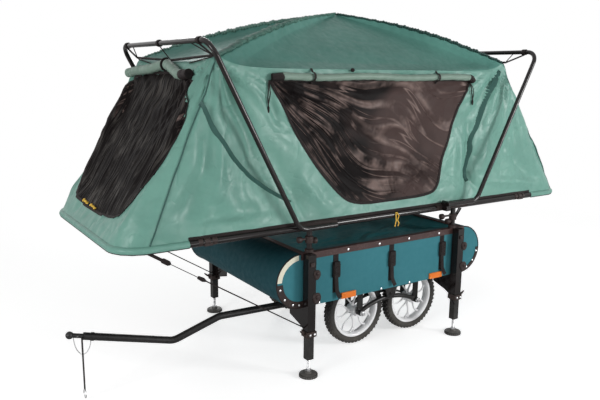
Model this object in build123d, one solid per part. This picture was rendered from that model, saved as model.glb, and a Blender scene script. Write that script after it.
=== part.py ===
"""Folding camper trailer for a bicycle: cargo box on four small wheels, folding bed and tent on top.

Sizes are in millimetres. Inside this file x runs forward to the hitch, y to the left side and
z up from the floor, with x = 0 midway between the front and rear legs. export moves the model so
that its origin lies on the floor under the middle of the overall length.
"""

import os
from math import cos, pi, radians, sin, tan

from build123d import *

# Chassis and cargo box
LEG_X = 403.0
LEG_Y = 418.0
SLEEVE = 36.0
SLEEVE_WALL = 3.0
SLEEVE_BOTTOM = 165.0
RAIL = 25.0
RAIL_WALL = 2.0
RAIL_TOP = 497.0
BOX_BOTTOM = 279.0
BOX_FRONT = 536.0
PANEL = 3.0
FLOOR_TUBE = 20.0
FRONT_GUARD = 27.0
REAR_GUARD = 16.0
GUARD_THICK = 2.0
GUARD_UNDER = 40.0
REFLECTOR_XS = (197.0, -293.0)
REFLECTOR_HALF = 36.0
STRAP_XS = (262.0, -30.0, -326.0)
STRAP_HALF = 12.5
BUCKLE_HALF = 17.0
COVER_THICK = 2.0
COVER_DROP = 6.0
TAPE_W = 20.0
TAPE_THICK = 1.2
FRONT_CROSS_X = 360.0
GUSSET_REACH = 110.0
GUSSET_DEEP = 62.0
GUSSET_THICK = 4.0

# Wheels and their rocking beams
RIM_R = 112.0
TYRE_SECTION = 38.0
TYRE_R = RIM_R + TYRE_SECTION
TYRE_W = 46.0
RIM_W = 34.0
RIM_DEPTH = 12.0
FLANGE = 7.0
FLANGE_THICK = 2.5
TYRE_WALL = 4.5
HUB_R = 19.0
HUB_W = 52.0
AXLE_R = 5.0
WHEEL_Y = 247.0
WHEEL_PAIR_X = -116.0
WHEEL_GAP = 26.0
HALF_BASE = TYRE_R + WHEEL_GAP / 2
BEAM_TUBE = 20.0
BEAM_RISE = 42.0
BEAM_GAP = 16.0
PIVOT_R = 7.0
PIVOT_LIFT = 18.0
HANGER_GAP = 14.0
HANGER_THICK = 4.0
HANGER_HALF = 48.0
WELL_CLEAR = 14.0
WELL_SIDE_CLEAR = 12.0
WELL_BEHIND = 15.0
FORK_W = 27.0
FORK_THICK = 8.0
SPOKE_PAIRS = 5
SPOKE_W = 8.0

# Legs
LEG_TUBE = 29.0
LEG_TUBE_WALL = 2.0
LEG_TUBE_BOTTOM = 72.0
LEG_TUBE_TOP = 330.0
SCREW_R = 5.0
FOOT_R = 37.5
FOOT_THICK = 12.0

# Drawbar and hitch
BAR_R = 14.0
BAR_WALL = 2.0
BAR_BEND = 60.0
BAR_START = (300.0, 262.0, 249.0)
BAR_RISE_POINT = (690.0, 217.0, 241.0)
BAR_LOW_POINT = (868.0, 190.0, 172.0)
BAR_END = (1185.0, 147.0, 245.0)
SADDLE_HALF = 18.0
NECK_R = 8.5
NECK_LENGTH = 46.0
BALL_R = 14.0
HITCH_HOLE_R = 3.2
HITCH_HOLE_AT = 26.0
PEG_R = 3.5
NECK_PEG = 40.0
BAR_PEG = -25.0
STRAP_W = 18.0
STRAP_THICK = 2.0
STRAP_BOTTOM = 40.0
RING_R = 15.0
RING_WIRE_R = 2.2
CORD_R = 1.5
WIRE_DROPS = ((0.0, 0.0), (-2.0, -28.0), (-11.0, -60.0), (-31.0, -82.0), (-52.0, -68.0), (-62.0, -42.0))
ARC_SHARE = 0.45

# Bed
BED_LENGTH = 2286.0
BED_RAIL_Y = 400.0
BED_RAIL_Z = 600.0
BED_TUBE_R = 12.5
BED_TUBE_WALL = 1.6
BED_CORNER_R = 100.0
HINGE_X = 457.0
HINGE_GAP = 1.0
FRONT_PIN_LIFT = 26.0
REAR_PIN_LIFT = 41.0
EAR_THICK = 4.5
EAR_LENGTH = 34.0
EAR_GAP = 0.5
PIN_R = 4.0
PIN_CLEAR = 0.25
DECK_THICK = 2.0
NOTCH = 52.0
DECK_INSET = 2 * EAR_THICK + EAR_GAP + 5.0
MAST_R = 11.0
MAST_WALL = 2.0
MAST_X = 389.0
BOOT_THICK = 0.5
BOOT_GAP = 14.0
BOOT_SPANS = ((272.0, 452.0), (-452.0, -266.0))
STAY_R = 2.2
STAY_TOP = (1034.0, 392.0, 590.0)
STAY_FOOT_Y = 412.0
STAY_FOOT_Z = 202.0

# Tent hoops
HOOP_R = 9.5
HOOP_TOP_X = 815.0
HOOP_TOP_Z = 1278.0
FRONT_HOOP_Y = 427.5
REAR_HOOP_Y = 452.0
HOOP_BEND = 55.0
HOOP_ANGLE = 62.0
HOOP_PIVOT_X = 307.0
REAR_HOOP_LIFT = 25.0
HOOP_BOSS_R = 9.0
HOOP_CLEAR = 0.3

# Tent
FABRIC = 1.5
TENT_SEAT = 0.3
WALL_TOP_Z = 1222.0
APEX_Z = 1426.0
TOP_FRONT = 772.0
TOP_REAR = -700.0
TOP_Y = 372.0
ROOF_BOW = 30.0
SEAM_SAG = 33.0
PANEL_SAG = 28.0
SEAM_RUN_SHARE = 0.09
ROOF_SHARES = (0.35, 0.7)
MESH = 0.8
ROLL_R = 15.0
ROLL_Z = 1161.0
ROLL_FRONT = 556.0
ROLL_REAR = -450.0
ROLL_SINK = 3.0
END_ROLL_R = 19.0
END_ROLL_LOW = 1172.0
END_ROLL_HIGH = 1204.0
END_ROLLS = ((-352.0, -12.0), (262.0, 12.0))


def tube_along(points, radius, wall, bend):
    """Round tube along a polyline with filleted corners; wall 0 makes it solid."""
    path = FilletPolyline(*points, radius=bend) if len(points) > 2 else Line(*points)
    start = Plane(origin=path @ 0, z_dir=path % 0)
    section = Circle(radius)
    if wall:
        section = section - Circle(radius - wall)
    return sweep(start * section, path=path)


def rod(start, end, radius, bore=0.0):
    """Straight round bar from start to end, with an optional bore."""
    direction = Vector(*end) - Vector(*start)
    place = Plane(origin=start, z_dir=direction.normalized())
    section = Circle(radius)
    if bore:
        section = section - Circle(bore)
    return extrude(place * section, amount=direction.length)


def block(x0, x1, y0, y1, z0, z1):
    """Box between two corners."""
    centre = ((x0 + x1) / 2, (y0 + y1) / 2, (z0 + z1) / 2)
    return Pos(*centre) * Box(abs(x1 - x0), abs(y1 - y0), abs(z1 - z0))


def square_tube(x0, x1, y, z, size, wall):
    """Square tube along x, centred on y and z."""
    outer = block(x0, x1, y - size / 2, y + size / 2, z - size / 2, z + size / 2)
    bore = size / 2 - wall
    return outer - block(x0 - 1, x1 + 1, y - bore, y + bore, z - bore, z + bore)


def both_sides(shape):
    """The shape and its mirror image on the other side of the trailer."""
    return [shape, mirror(shape, about=Plane.XZ)]


def plate_xz(outline, y0, y1):
    """Sketch drawn in x and z, as a plate from y0 to y1."""
    low, high = min(y0, y1), max(y0, y1)
    face = Plane(origin=(0, high, 0), x_dir=(1, 0, 0), z_dir=(0, -1, 0)) * outline
    return extrude(face, amount=high - low)


# Box outline: straight top and bottom with round ends, rails in its top edge, wells inside its floor
BOX_HALF_H = (RAIL_TOP - 2.0 - BOX_BOTTOM) / 2
AXLE_XS = (WHEEL_PAIR_X + HALF_BASE, WHEEL_PAIR_X - HALF_BASE)
WELL_TOP = 2 * TYRE_R + WELL_CLEAR
WELL_FRONT = AXLE_XS[0] + TYRE_R + WELL_CLEAR
WELL_REAR = AXLE_XS[1] - TYRE_R - WELL_CLEAR
BOX_REAR = WELL_REAR - WELL_BEHIND - BOX_HALF_H
BOX_MID_Z = BOX_BOTTOM + BOX_HALF_H
BOX_MID_X = (BOX_FRONT + BOX_REAR) / 2
BOX_LENGTH = BOX_FRONT - BOX_REAR
ROUND_FRONT = BOX_FRONT - BOX_HALF_H
ROUND_REAR = BOX_REAR + BOX_HALF_H
SLEEVE_INNER_Y = LEG_Y - SLEEVE / 2
RAIL_Y = SLEEVE_INNER_Y - RAIL / 2
RAIL_MID_Z = RAIL_TOP - RAIL / 2
MAST_Y = RAIL_Y + 4.0
PANEL_OUT = SLEEVE_INNER_Y - 6.0
PANEL_IN = PANEL_OUT - PANEL
FLOOR_TOP = BOX_BOTTOM + FLOOR_TUBE
WELL_IN = WHEEL_Y - TYRE_W / 2 - WELL_SIDE_CLEAR
WELL_OUT = WHEEL_Y + TYRE_W / 2 + WELL_SIDE_CLEAR
BEAM_OUT_Y = WHEEL_Y + HUB_W / 2 + BEAM_GAP
BEAM_IN_Y = WHEEL_Y - HUB_W / 2 - BEAM_GAP


def box_outline(inset=0.0):
    """Stadium in x and z, smaller all round by inset."""
    height = 2 * (BOX_HALF_H - inset)
    return Pos(BOX_MID_X, BOX_MID_Z) * SlotOverall(BOX_LENGTH - 2 * inset, height)


def top_frame():
    """Side rails and cross rails of square tube round the top of the box."""
    rail = square_tube(ROUND_REAR, ROUND_FRONT, RAIL_Y, RAIL_MID_Z, RAIL, RAIL_WALL)
    pieces = both_sides(rail)
    inner = RAIL_Y - RAIL / 2
    for x in (ROUND_FRONT - RAIL / 2, ROUND_REAR + RAIL / 2):
        cross = block(x - RAIL / 2, x + RAIL / 2, -inner, inner, RAIL_TOP - RAIL, RAIL_TOP)
        bore = RAIL / 2 - RAIL_WALL
        cross -= block(x - bore, x + bore, -inner, inner, RAIL_MID_Z - bore, RAIL_MID_Z + bore)
        pieces.append(cross)
    return fuse(pieces)


def fuse(pieces):
    """One solid from overlapping or touching pieces."""
    whole = pieces[0]
    for piece in pieces[1:]:
        whole = whole + piece
    return whole


def floor_frame():
    """Bottom ring of square tube with cross tubes in front of, between and behind the wheels."""
    y = PANEL_IN - FLOOR_TUBE / 2
    z = BOX_BOTTOM + FLOOR_TUBE / 2
    half = FLOOR_TUBE / 2
    pieces = both_sides(square_tube(ROUND_REAR, ROUND_FRONT, y, z, FLOOR_TUBE, RAIL_WALL))
    for x in (ROUND_FRONT - half, FRONT_CROSS_X, ROUND_REAR + half):
        pieces.append(block(x - half, x + half, half - y, y - half, z - half, z + half))
    pieces.append(block(ROUND_REAR + half, FRONT_CROSS_X, -half, half, z - half, z + half))
    return fuse(pieces)


def side_panel():
    """Left panel of the box: a plate with round ends, notched for the top rail."""
    plate = plate_xz(box_outline(), PANEL_IN, PANEL_OUT)
    notch = block(ROUND_REAR, ROUND_FRONT, PANEL_IN - 1, PANEL_OUT + 1, RAIL_TOP - RAIL, RAIL_TOP)
    return plate - notch


def end_skin(front):
    """Curved skin round one end of the box, from the top rail down to the floor."""
    shell = plate_xz(box_outline() - box_outline(PANEL), -PANEL_IN, PANEL_IN)
    if front:
        keep = block(ROUND_FRONT, BOX_FRONT + 1, -PANEL_IN, PANEL_IN, 0, RAIL_TOP + 1)
    else:
        keep = block(BOX_REAR - 1, ROUND_REAR, -PANEL_IN, PANEL_IN, 0, RAIL_TOP + 1)
    return shell & keep


def floor():
    """Floor plate with a raised well over each pair of wheels."""
    plate = block(ROUND_REAR, ROUND_FRONT, -PANEL_IN, PANEL_IN, FLOOR_TOP, FLOOR_TOP + PANEL)
    for side in (1, -1):
        ys = (side * WELL_IN, side * WELL_OUT)
        y0, y1 = min(ys), max(ys)
        plate += block(WELL_REAR - PANEL, WELL_FRONT + PANEL, y0 - PANEL, y1 + PANEL,
                       FLOOR_TOP, WELL_TOP + PANEL)
        plate -= block(WELL_REAR, WELL_FRONT, y0, y1, FLOOR_TOP - 1, WELL_TOP)
    return plate


def leg_sleeve(x):
    """Corner post with the leg's square bore, and a gusset in to the floor frame."""
    half = SLEEVE / 2
    post = block(x - half, x + half, LEG_Y - half, LEG_Y + half, SLEEVE_BOTTOM, RAIL_TOP)
    bore = half - SLEEVE_WALL
    post -= block(x - bore, x + bore, LEG_Y - bore, LEG_Y + bore, 0, RAIL_TOP - SLEEVE_WALL)
    inner = LEG_Y - half
    tip = PANEL_IN - GUSSET_REACH
    outline = Polyline((inner, BOX_BOTTOM), (inner, SLEEVE_BOTTOM + 8), (inner - 45, SLEEVE_BOTTOM + 30),
                       (tip, BOX_BOTTOM - GUSSET_DEEP), (tip, BOX_BOTTOM), close=True)
    place = Plane(origin=(x - GUSSET_THICK / 2, 0, 0), x_dir=(0, 1, 0), z_dir=(1, 0, 0))
    gusset = extrude(place * make_face(outline), amount=GUSSET_THICK)
    return post + gusset


def corner_guard(front):
    """Edge strip round the lower quarter of the panel's round end."""
    ring = box_outline() - box_outline(FRONT_GUARD if front else REAR_GUARD)
    strip = plate_xz(ring, PANEL_OUT, PANEL_OUT + GUARD_THICK)
    if front:
        keep = block(ROUND_FRONT - GUARD_UNDER, BOX_FRONT + 1, 0, LEG_Y, 0, BOX_MID_Z)
    else:
        keep = block(BOX_REAR - 1, ROUND_REAR + GUARD_UNDER, 0, LEG_Y, 0, BOX_MID_Z)
    return strip & keep


def reflective_tape():
    """Left tape round the upper quarter of the panel's front end."""
    ring = box_outline(2.0) - box_outline(2.0 + TAPE_W)
    strip = plate_xz(ring, PANEL_OUT, PANEL_OUT + TAPE_THICK)
    return strip & block(ROUND_FRONT + 10, BOX_FRONT + 1, 0, LEG_Y, BOX_MID_Z + 8, RAIL_TOP)


def cargo_cover():
    """Cloth cover of the box between its top rails."""
    inner = RAIL_Y - RAIL / 2
    top = RAIL_TOP - COVER_DROP
    return block(ROUND_REAR + RAIL, ROUND_FRONT - RAIL, -inner, inner, top - COVER_THICK, top)


def tyre():
    """Round-shouldered tyre about the y axis, hollow, with its beads on the rim's seats."""
    half = TYRE_W / 2
    seat = RIM_W / 2
    top = RIM_R + FLANGE
    right = [(RIM_R, seat), (top + 0.3, seat), (top + 1, half - 2), (top + 7, half), (TYRE_R - 12, half),
             (TYRE_R - 3, half - 7), (TYRE_R, half - 14)]
    inside = [(TYRE_R - TYRE_WALL - 3, 14 - half), (TYRE_R - TYRE_WALL - 10, TYRE_WALL - half),
              (top + 5, TYRE_WALL - half), (RIM_R, 5 - seat)]
    outer = right + [(r, -y) for r, y in reversed(right)] + [(r, y) for r, y in reversed(inside)]
    outer += [(r, -y) for r, y in inside]
    return spun(make_face(Polyline(*outer, close=True)))


def spun(face):
    """Revolve a sketch of (radius, y) about the y axis."""
    return revolve(Plane(origin=(0, 0, 0), x_dir=(1, 0, 0), z_dir=(0, 0, 1)) * face, Axis.Y, 360)


# Each spoke of a pair: where it meets the rim in degrees, and how far its middle bows
SPOKE_FORMS = ((15.0, 13.0), (-12.0, -9.0))


def wheel():
    """Cast wheel: rim, hub with axle bore and swept spokes."""
    seat = RIM_W / 2
    lip = seat + FLANGE_THICK
    side = [(RIM_R - 4, seat - 6), (RIM_R, seat), (RIM_R + FLANGE, seat), (RIM_R + FLANGE, lip),
            (RIM_R - 6, lip), (RIM_R - RIM_DEPTH, seat - 5)]
    rim = Polyline(*side, *[(r, -y) for r, y in reversed(side)], close=True)
    body = spun(make_face(rim))
    hub = rod((0, -HUB_W / 2, 0), (0, HUB_W / 2, 0), HUB_R, AXLE_R + PIN_CLEAR)
    body += hub
    reach = RIM_R - RIM_DEPTH + 1
    start = HUB_R - 2.0
    trim = rod((0, -9, 0), (0, 9, 0), RIM_R - RIM_DEPTH + 4, HUB_R - 3)
    for lean, bow in SPOKE_FORMS:
        end = (reach * cos(radians(lean)), reach * sin(radians(lean)))
        arc = ThreePointArc((start, 0), (end[0] / 2 + start / 2, end[1] / 2 + bow), end)
        spoke = plate_xz(trace(arc, line_width=SPOKE_W), -6.0, 6.0) & trim
        for step in range(SPOKE_PAIRS):
            body += Rot(0, step * 360 / SPOKE_PAIRS, 0) * spoke
    return body


def beam():
    """Left rocking beam: arched tubes either side of the wheels, axles and the centre bracket."""
    pieces = []
    top = TYRE_R + BEAM_RISE
    for y in (BEAM_OUT_Y, BEAM_IN_Y):
        arch = ThreePointArc((AXLE_XS[0], y, TYRE_R), (WHEEL_PAIR_X, y, top), (AXLE_XS[1], y, TYRE_R))
        start = Plane(origin=arch @ 0, z_dir=arch % 0)
        pieces.append(sweep(start * Circle(BEAM_TUBE / 2), path=arch))
    for x in AXLE_XS:
        axle = rod((x, BEAM_IN_Y - 14, TYRE_R), (x, BEAM_OUT_Y + 16, TYRE_R), AXLE_R)
        pieces.append(axle)
        for y in (BEAM_OUT_Y, BEAM_IN_Y):
            pieces.append(rod((x, y - 11, TYRE_R), (x, y + 11, TYRE_R), 13.0))
        pieces.append(rod((x, BEAM_OUT_Y + 10, TYRE_R), (x, BEAM_OUT_Y + 18, TYRE_R), 9.0))
        pieces.append(fork_leg(x, BEAM_OUT_Y, PANEL_IN))
        pieces.append(fork_leg(x, BEAM_IN_Y, 0.0))
    pivot_z = top + PIVOT_LIFT
    reach = HANGER_GAP + HANGER_THICK + 3
    ends = [(WHEEL_PAIR_X, y, pivot_z) for y in (BEAM_IN_Y - reach, BEAM_OUT_Y + reach)]
    pieces.append(rod(*ends, PIVOT_R))
    for y in (BEAM_OUT_Y, BEAM_IN_Y):
        pieces.append(block(WHEEL_PAIR_X - 16, WHEEL_PAIR_X + 16, y - 5, y + 5, top - 4, pivot_z + 4))
    return fuse(pieces)


def fork_leg(x, y, mount_y):
    """Flat bar from an axle up to a foot under the floor frame."""
    half = FORK_W / 2
    bar = block(x - half, x + half, y - FORK_THICK / 2, y + FORK_THICK / 2, TYRE_R, BOX_BOTTOM)
    end = rod((x, y - FORK_THICK / 2, TYRE_R), (x, y + FORK_THICK / 2, TYRE_R), half)
    near, far = min(y - FORK_THICK / 2, mount_y), max(y + FORK_THICK / 2, mount_y)
    foot = block(x - half, x + half, near, far, BOX_BOTTOM - HANGER_THICK, BOX_BOTTOM)
    return fuse([bar, end, foot])


def beam_hangers():
    """Left brackets that carry the rocking beam's pivot, one outside and one inside the wheels."""
    pivot_z = TYRE_R + BEAM_RISE + PIVOT_LIFT
    x0, x1 = WHEEL_PAIR_X - HANGER_HALF, WHEEL_PAIR_X + HANGER_HALF
    outline = Polyline((x0, BOX_BOTTOM), (WHEEL_PAIR_X - 20, pivot_z - 14), (WHEEL_PAIR_X + 20, pivot_z - 14),
                       (x1, BOX_BOTTOM), close=True)
    pivot = rod((WHEEL_PAIR_X, 0, pivot_z), (WHEEL_PAIR_X, PANEL_IN, pivot_z), PIVOT_R)
    plates = []
    for near, far in ((BEAM_OUT_Y + HANGER_GAP, PANEL_IN), (BEAM_IN_Y - HANGER_GAP, 0.0)):
        thick = HANGER_THICK if far > near else -HANGER_THICK
        plate = plate_xz(make_face(outline), near, near + thick)
        foot = block(x0, x1, min(near, far), max(near, far), BOX_BOTTOM - HANGER_THICK, BOX_BOTTOM)
        plates.append(plate + foot - pivot)
    return plates


def leg(x, side):
    """Sliding leg: square tube, levelling screw and round foot."""
    y = side * LEG_Y
    half = LEG_TUBE / 2
    tube = block(x - half, x + half, y - half, y + half, LEG_TUBE_BOTTOM, LEG_TUBE_TOP)
    bore = half - LEG_TUBE_WALL
    tube -= block(x - bore, x + bore, y - bore, y + bore, LEG_TUBE_BOTTOM + 8, LEG_TUBE_TOP + 1)
    screw = rod((x, y, FOOT_THICK - 1), (x, y, LEG_TUBE_BOTTOM + 4), SCREW_R)
    foot = Pos(x, y, FOOT_THICK / 2) * Cylinder(FOOT_R, FOOT_THICK)
    foot = fillet(foot.edges().group_by(Axis.Z)[-1], 4)
    hub = Pos(x, y, FOOT_THICK + 4) * Cylinder(11, 9)
    return tube + screw + foot + hub


# Shields on each leg sleeve: lowest z, highest z, half width, and the share of it at top and bottom
SHIELDS = ((393.0, 437.0, 18.0, 1.0, 0.2), (295.0, 346.0, 22.0, 0.2, 1.0))
SHIELD_THICK = 6.0
SHIELD_BACK = 22.0
CLAMP_WALL = 4.0
CLAMP_BOTTOM = 168.0
CLAMP_TOP = 190.0
LEVER_R = 4.0
LEVER_REACH = 30.0
LEVER_RISE = 22.0


def leg_lock(x):
    """Left sleeve's shields, and its clamp collar with a lever."""
    face = LEG_Y + SLEEVE / 2
    pieces = []
    for low, high, wide, top, bottom in SHIELDS:
        middle = x - SHIELD_BACK
        half_z = (low + high) / 2
        outline = Polyline((middle - wide * top, high), (middle + wide * top, high), (middle + wide, half_z),
                           (middle + wide * bottom, low), (middle - wide * bottom, low),
                           (middle - wide, half_z), close=True)
        pieces.append(plate_xz(make_face(outline), face, face + SHIELD_THICK))
    half = SLEEVE / 2
    reach = half + CLAMP_WALL
    collar = block(x - reach, x + reach, LEG_Y - reach, LEG_Y + reach, CLAMP_BOTTOM, CLAMP_TOP)
    collar -= block(x - half, x + half, LEG_Y - half, LEG_Y + half, 0, RAIL_TOP)
    inner = LEG_Y - half
    slot = GUSSET_THICK / 2 + 0.5
    collar -= block(x - slot, x + slot, 0, inner, 0, BOX_BOTTOM)
    way = 1 if x > 0 else -1
    z = (CLAMP_BOTTOM + CLAMP_TOP) / 2
    tip = (x + way * (half + LEVER_REACH), LEG_Y + 10, z + LEVER_RISE)
    lever = rod((x + way * (reach - 0.5), LEG_Y, z), tip, LEVER_R)
    return pieces + [collar + lever]


def drawbar():
    """Tow tube with two bends from the box's left front to the hitch."""
    points = (BAR_START, BAR_RISE_POINT, BAR_LOW_POINT, BAR_END)
    tube = tube_along(points, BAR_R, BAR_WALL, BAR_BEND)
    end = Vector(*BAR_END)
    along = bar_direction()
    band = rod(tuple(end + along * (BAR_PEG - 5)), tuple(end + along * (BAR_PEG + 5)), BAR_R + 2, BAR_R)
    return tube + band + wire_peg(BAR_PEG, BAR_R + 2)


def bar_direction():
    """Unit direction of the drawbar's last straight, towards the hitch."""
    return (Vector(*BAR_END) - Vector(*BAR_LOW_POINT)).normalized()


def drawbar_clamp():
    """Saddle that holds the drawbar's rear end under the floor frame."""
    share = (FRONT_CROSS_X - BAR_START[0]) / (BAR_RISE_POINT[0] - BAR_START[0])
    place = Vector(*BAR_START) + (Vector(*BAR_RISE_POINT) - Vector(*BAR_START)) * share
    x, y, z = place.X, place.Y, place.Z
    half = BAR_R + 6
    saddle = block(x - SADDLE_HALF, x + SADDLE_HALF, y - half, y + half, z - BAR_R - 4, BOX_BOTTOM)
    lead = rod(BAR_START, BAR_RISE_POINT, BAR_R)
    return saddle - lead


def hitch_head():
    """Neck and ball at the drawbar's end, with a plug inside the tube and the pin's hole."""
    along = bar_direction()
    end = Vector(*BAR_END)
    tip = end + along * NECK_LENGTH
    plug = rod(tuple(end - along * 40), tuple(end + along * 2), BAR_R - BAR_WALL)
    collar = rod(tuple(end), tuple(end + along * 7), BAR_R)
    neck = rod(tuple(end), tuple(tip), NECK_R)
    ball = Pos(*tuple(tip + along * 8)) * Sphere(BALL_R)
    across = Vector(-along.Y, along.X, 0).normalized()
    middle = end + along * HITCH_HOLE_AT
    hole = rod(tuple(middle - across * 2 * NECK_R), tuple(middle + across * 2 * NECK_R), HITCH_HOLE_R)
    return plug + collar + neck + ball + wire_peg(NECK_PEG, NECK_R) - hole


def wire_peg(station, radius):
    """Peg on the far side of the bar, whose underside the retaining cable leaves."""
    x, y, z = tuple(Vector(*BAR_END) + bar_direction() * station)
    return rod((x, y - radius + 2, z), (x, y - radius - 5, z), PEG_R)


def tent_rows(inset):
    """Rows of the tent from foot to apex: (x0, x1, half y, corner z, seam z, corner radius)."""
    foot = BED_LENGTH / 2 - BED_TUBE_R + FABRIC / 2
    foot_z = BED_RAIL_Z + BED_TUBE_R + TENT_SEAT
    rows = [(-foot, foot, BED_RAIL_Y + FABRIC / 2, foot_z, foot_z, BED_CORNER_R),
            (TOP_REAR, TOP_FRONT, TOP_Y, WALL_TOP_Z, WALL_TOP_Z - SEAM_SAG, 30.0)]
    for share in ROOF_SHARES:
        ridge = WALL_TOP_Z + (APEX_Z - WALL_TOP_Z) * share + ROOF_BOW * sin(share * pi)
        sag = SEAM_SAG * (1 - share) + PANEL_SAG * sin(share * pi)
        rear, front, side = (edge * (1 - share) for edge in (TOP_REAR, TOP_FRONT, TOP_Y))
        rows.append((rear, front, side, ridge, ridge - sag, 12.0))
    rows.append((-14.0, 14.0, 10.0, APEX_Z, APEX_Z, 4.0))
    out = []
    for x0, x1, y, corner_z, seam_z, radius in rows:
        drop = 0.0 if corner_z == foot_z else inset
        round_r = max(radius - inset, 1.0)
        out.append((x0 + inset, x1 - inset, y - inset, corner_z - drop, seam_z - drop, round_r))
    return out


def tent_ring(x0, x1, y, corner_z, seam_z, radius):
    """Closed wire round the tent: rounded corners held up, long sides hanging lower between them."""
    run = (x1 - x0 - 2 * radius) * SEAM_RUN_SHARE
    knee = radius * (1 - cos(pi / 4))
    edges = []
    for sign, front, rear in ((1, x1, x0), (-1, x0, x1)):
        way = 1 if front > rear else -1
        line = [(rear + way * radius, corner_z), (rear + way * (radius + run), seam_z),
                (front - way * (radius + run), seam_z), (front - way * radius, corner_z)]
        points = [(x, sign * y, z) for x, z in line]
        edges += [Line(a, b) for a, b in zip(points, points[1:])]
        turn = (front, sign * (y - radius), corner_z)
        edges.append(ThreePointArc(points[-1], (front - way * knee, sign * (y - knee), corner_z), turn))
        edges.append(Line(turn, (front, -sign * (y - radius), corner_z)))
        edges.append(ThreePointArc((front, -sign * (y - radius), corner_z),
                                   (front - way * knee, -sign * (y - knee), corner_z),
                                   (front - way * radius, -sign * y, corner_z)))
    return Wire(edges)


def tent_block(inset=0.0):
    """Closed solid with the tent's outer form."""
    return Solid.make_loft([tent_ring(*row) for row in tent_rows(inset)], ruled=True)


SIDE_WINDOW = ((530, 1131), (486, 1049), (406, 900), (330, 790), (250, 715), (160, 668),
               (-240, 664), (-290, 710), (-300, 810), (-356, 900), (-413, 1048), (-461, 1140))
END_WINDOW = ((-310, 1166), (265, 1166), (330, 1084), (345, 941), (335, 825), (300, 740),
              (215, 669), (-177, 669), (-270, 721), (-300, 886), (-310, 1057))


def window_cutters():
    """Prisms through the four tent walls where the mesh windows are."""
    side = make_face(Polyline(*SIDE_WINDOW, close=True))
    end = make_face(Polyline(*END_WINDOW, close=True))
    through_side = plate_xz(side, -500, 500)
    place = Plane(origin=(560, 0, 0), x_dir=(0, 1, 0), z_dir=(1, 0, 0))
    through_front = extrude(place * end, amount=700)
    return through_side, through_front, mirror(through_front, about=Plane.YZ)


def side_roll():
    """Flap rolled up above the left side window."""
    slope = (BED_RAIL_Y - TOP_Y) / (WALL_TOP_Z - BED_RAIL_Z)
    y = TOP_Y + (WALL_TOP_Z - ROLL_Z) * slope + ROLL_R - ROLL_SINK
    return rod((ROLL_REAR, y, ROLL_Z), (ROLL_FRONT, y, ROLL_Z), ROLL_R)


def end_rolls(top_x):
    """Two rolled flaps above an end window, tied up in the middle."""
    sign = 1 if top_x > 0 else -1
    slope = (BED_LENGTH / 2 - abs(top_x)) / (WALL_TOP_Z - BED_RAIL_Z)
    rolls = []
    for low_y, high_y in END_ROLLS:
        places = [(top_x + sign * ((WALL_TOP_Z - z) * slope + END_ROLL_R - ROLL_SINK), y, z)
                  for y, z in ((low_y, END_ROLL_LOW), (high_y, END_ROLL_HIGH))]
        rolls.append(rod(*places, END_ROLL_R))
    return rolls


def tent_shells():
    """Fabric shell, mesh shell and rolled flaps of the whole tent, before they are cut into panels."""
    outer = tent_block()
    fabric = outer - tent_block(FABRIC)
    middle = tent_block((FABRIC - MESH) / 2)
    mesh_shell = middle - tent_block((FABRIC + MESH) / 2)
    side, front, rear = window_cutters()
    fabric = fabric - side - front - rear
    mesh = (mesh_shell & side) + (mesh_shell & front) + (mesh_shell & rear)
    flaps = [*both_sides(side_roll()), *end_rolls(TOP_FRONT), *end_rolls(TOP_REAR)]
    return fabric, mesh, [flap - outer for flap in flaps]


TENT_CUTS = (("front", HINGE_X, 1300.0), ("mid_front", 0.0, HINGE_X),
             ("mid_rear", -HINGE_X, 0.0), ("rear", -1300.0, -HINGE_X))


def hinge_lift(front):
    """Height of the fold hinge's pin above the bed rails' centre."""
    return FRONT_PIN_LIFT if front else REAR_PIN_LIFT


def ear_plate(front, inboard, side):
    """Hinge ear on one rail; inboard ears belong to the middle rails and carry the pin."""
    sign = 1 if front else -1
    toward = -1 if inboard else 1
    lift = hinge_lift(front)
    pin_z = BED_RAIL_Z + lift
    near = HINGE_X - toward * 8
    root = HINGE_X + toward * 12
    far = HINGE_X + toward * (12 + EAR_LENGTH)
    outline = Polyline((sign * root, BED_RAIL_Z - 9), (sign * far, BED_RAIL_Z - 9),
                       (sign * far, BED_RAIL_Z + 6), (sign * HINGE_X + sign * toward * 8, pin_z + 7),
                       (sign * near, pin_z + 7), (sign * near, pin_z - 8), close=True)
    face_y = BED_RAIL_Y - BED_TUBE_R
    if inboard:
        y0, y1 = face_y - EAR_THICK, face_y
    else:
        y0, y1 = face_y - 2 * EAR_THICK - EAR_GAP, face_y - EAR_THICK - EAR_GAP
    ear = plate_xz(make_face(outline), y0, y1)
    pin_x = sign * HINGE_X
    bore = BED_TUBE_R - BED_TUBE_WALL
    seat = block(sign * (root + 4), sign * far, y1, BED_RAIL_Y, BED_RAIL_Z - 9, BED_RAIL_Z + 6)
    seat -= rod((-BED_LENGTH, BED_RAIL_Y, BED_RAIL_Z), (BED_LENGTH, BED_RAIL_Y, BED_RAIL_Z), bore)
    ear += seat
    if inboard:
        ear += rod((pin_x, face_y - 2 * EAR_THICK - EAR_GAP - 4, pin_z), (pin_x, face_y, pin_z), PIN_R)
    else:
        ear -= rod((pin_x, 0, pin_z), (pin_x, face_y, pin_z), PIN_R + PIN_CLEAR)
    return ear if side > 0 else mirror(ear, about=Plane.XZ)


def mid_rails():
    """Middle bed rails with their hinge ears and pins."""
    pieces = []
    end = HINGE_X - HINGE_GAP
    for side in (1, -1):
        rail = rod((-end, side * BED_RAIL_Y, BED_RAIL_Z), (end, side * BED_RAIL_Y, BED_RAIL_Z),
                   BED_TUBE_R, BED_TUBE_R - BED_TUBE_WALL)
        for front in (True, False):
            rail += ear_plate(front, True, side)
        pieces.append(rail)
    return pieces


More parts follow.
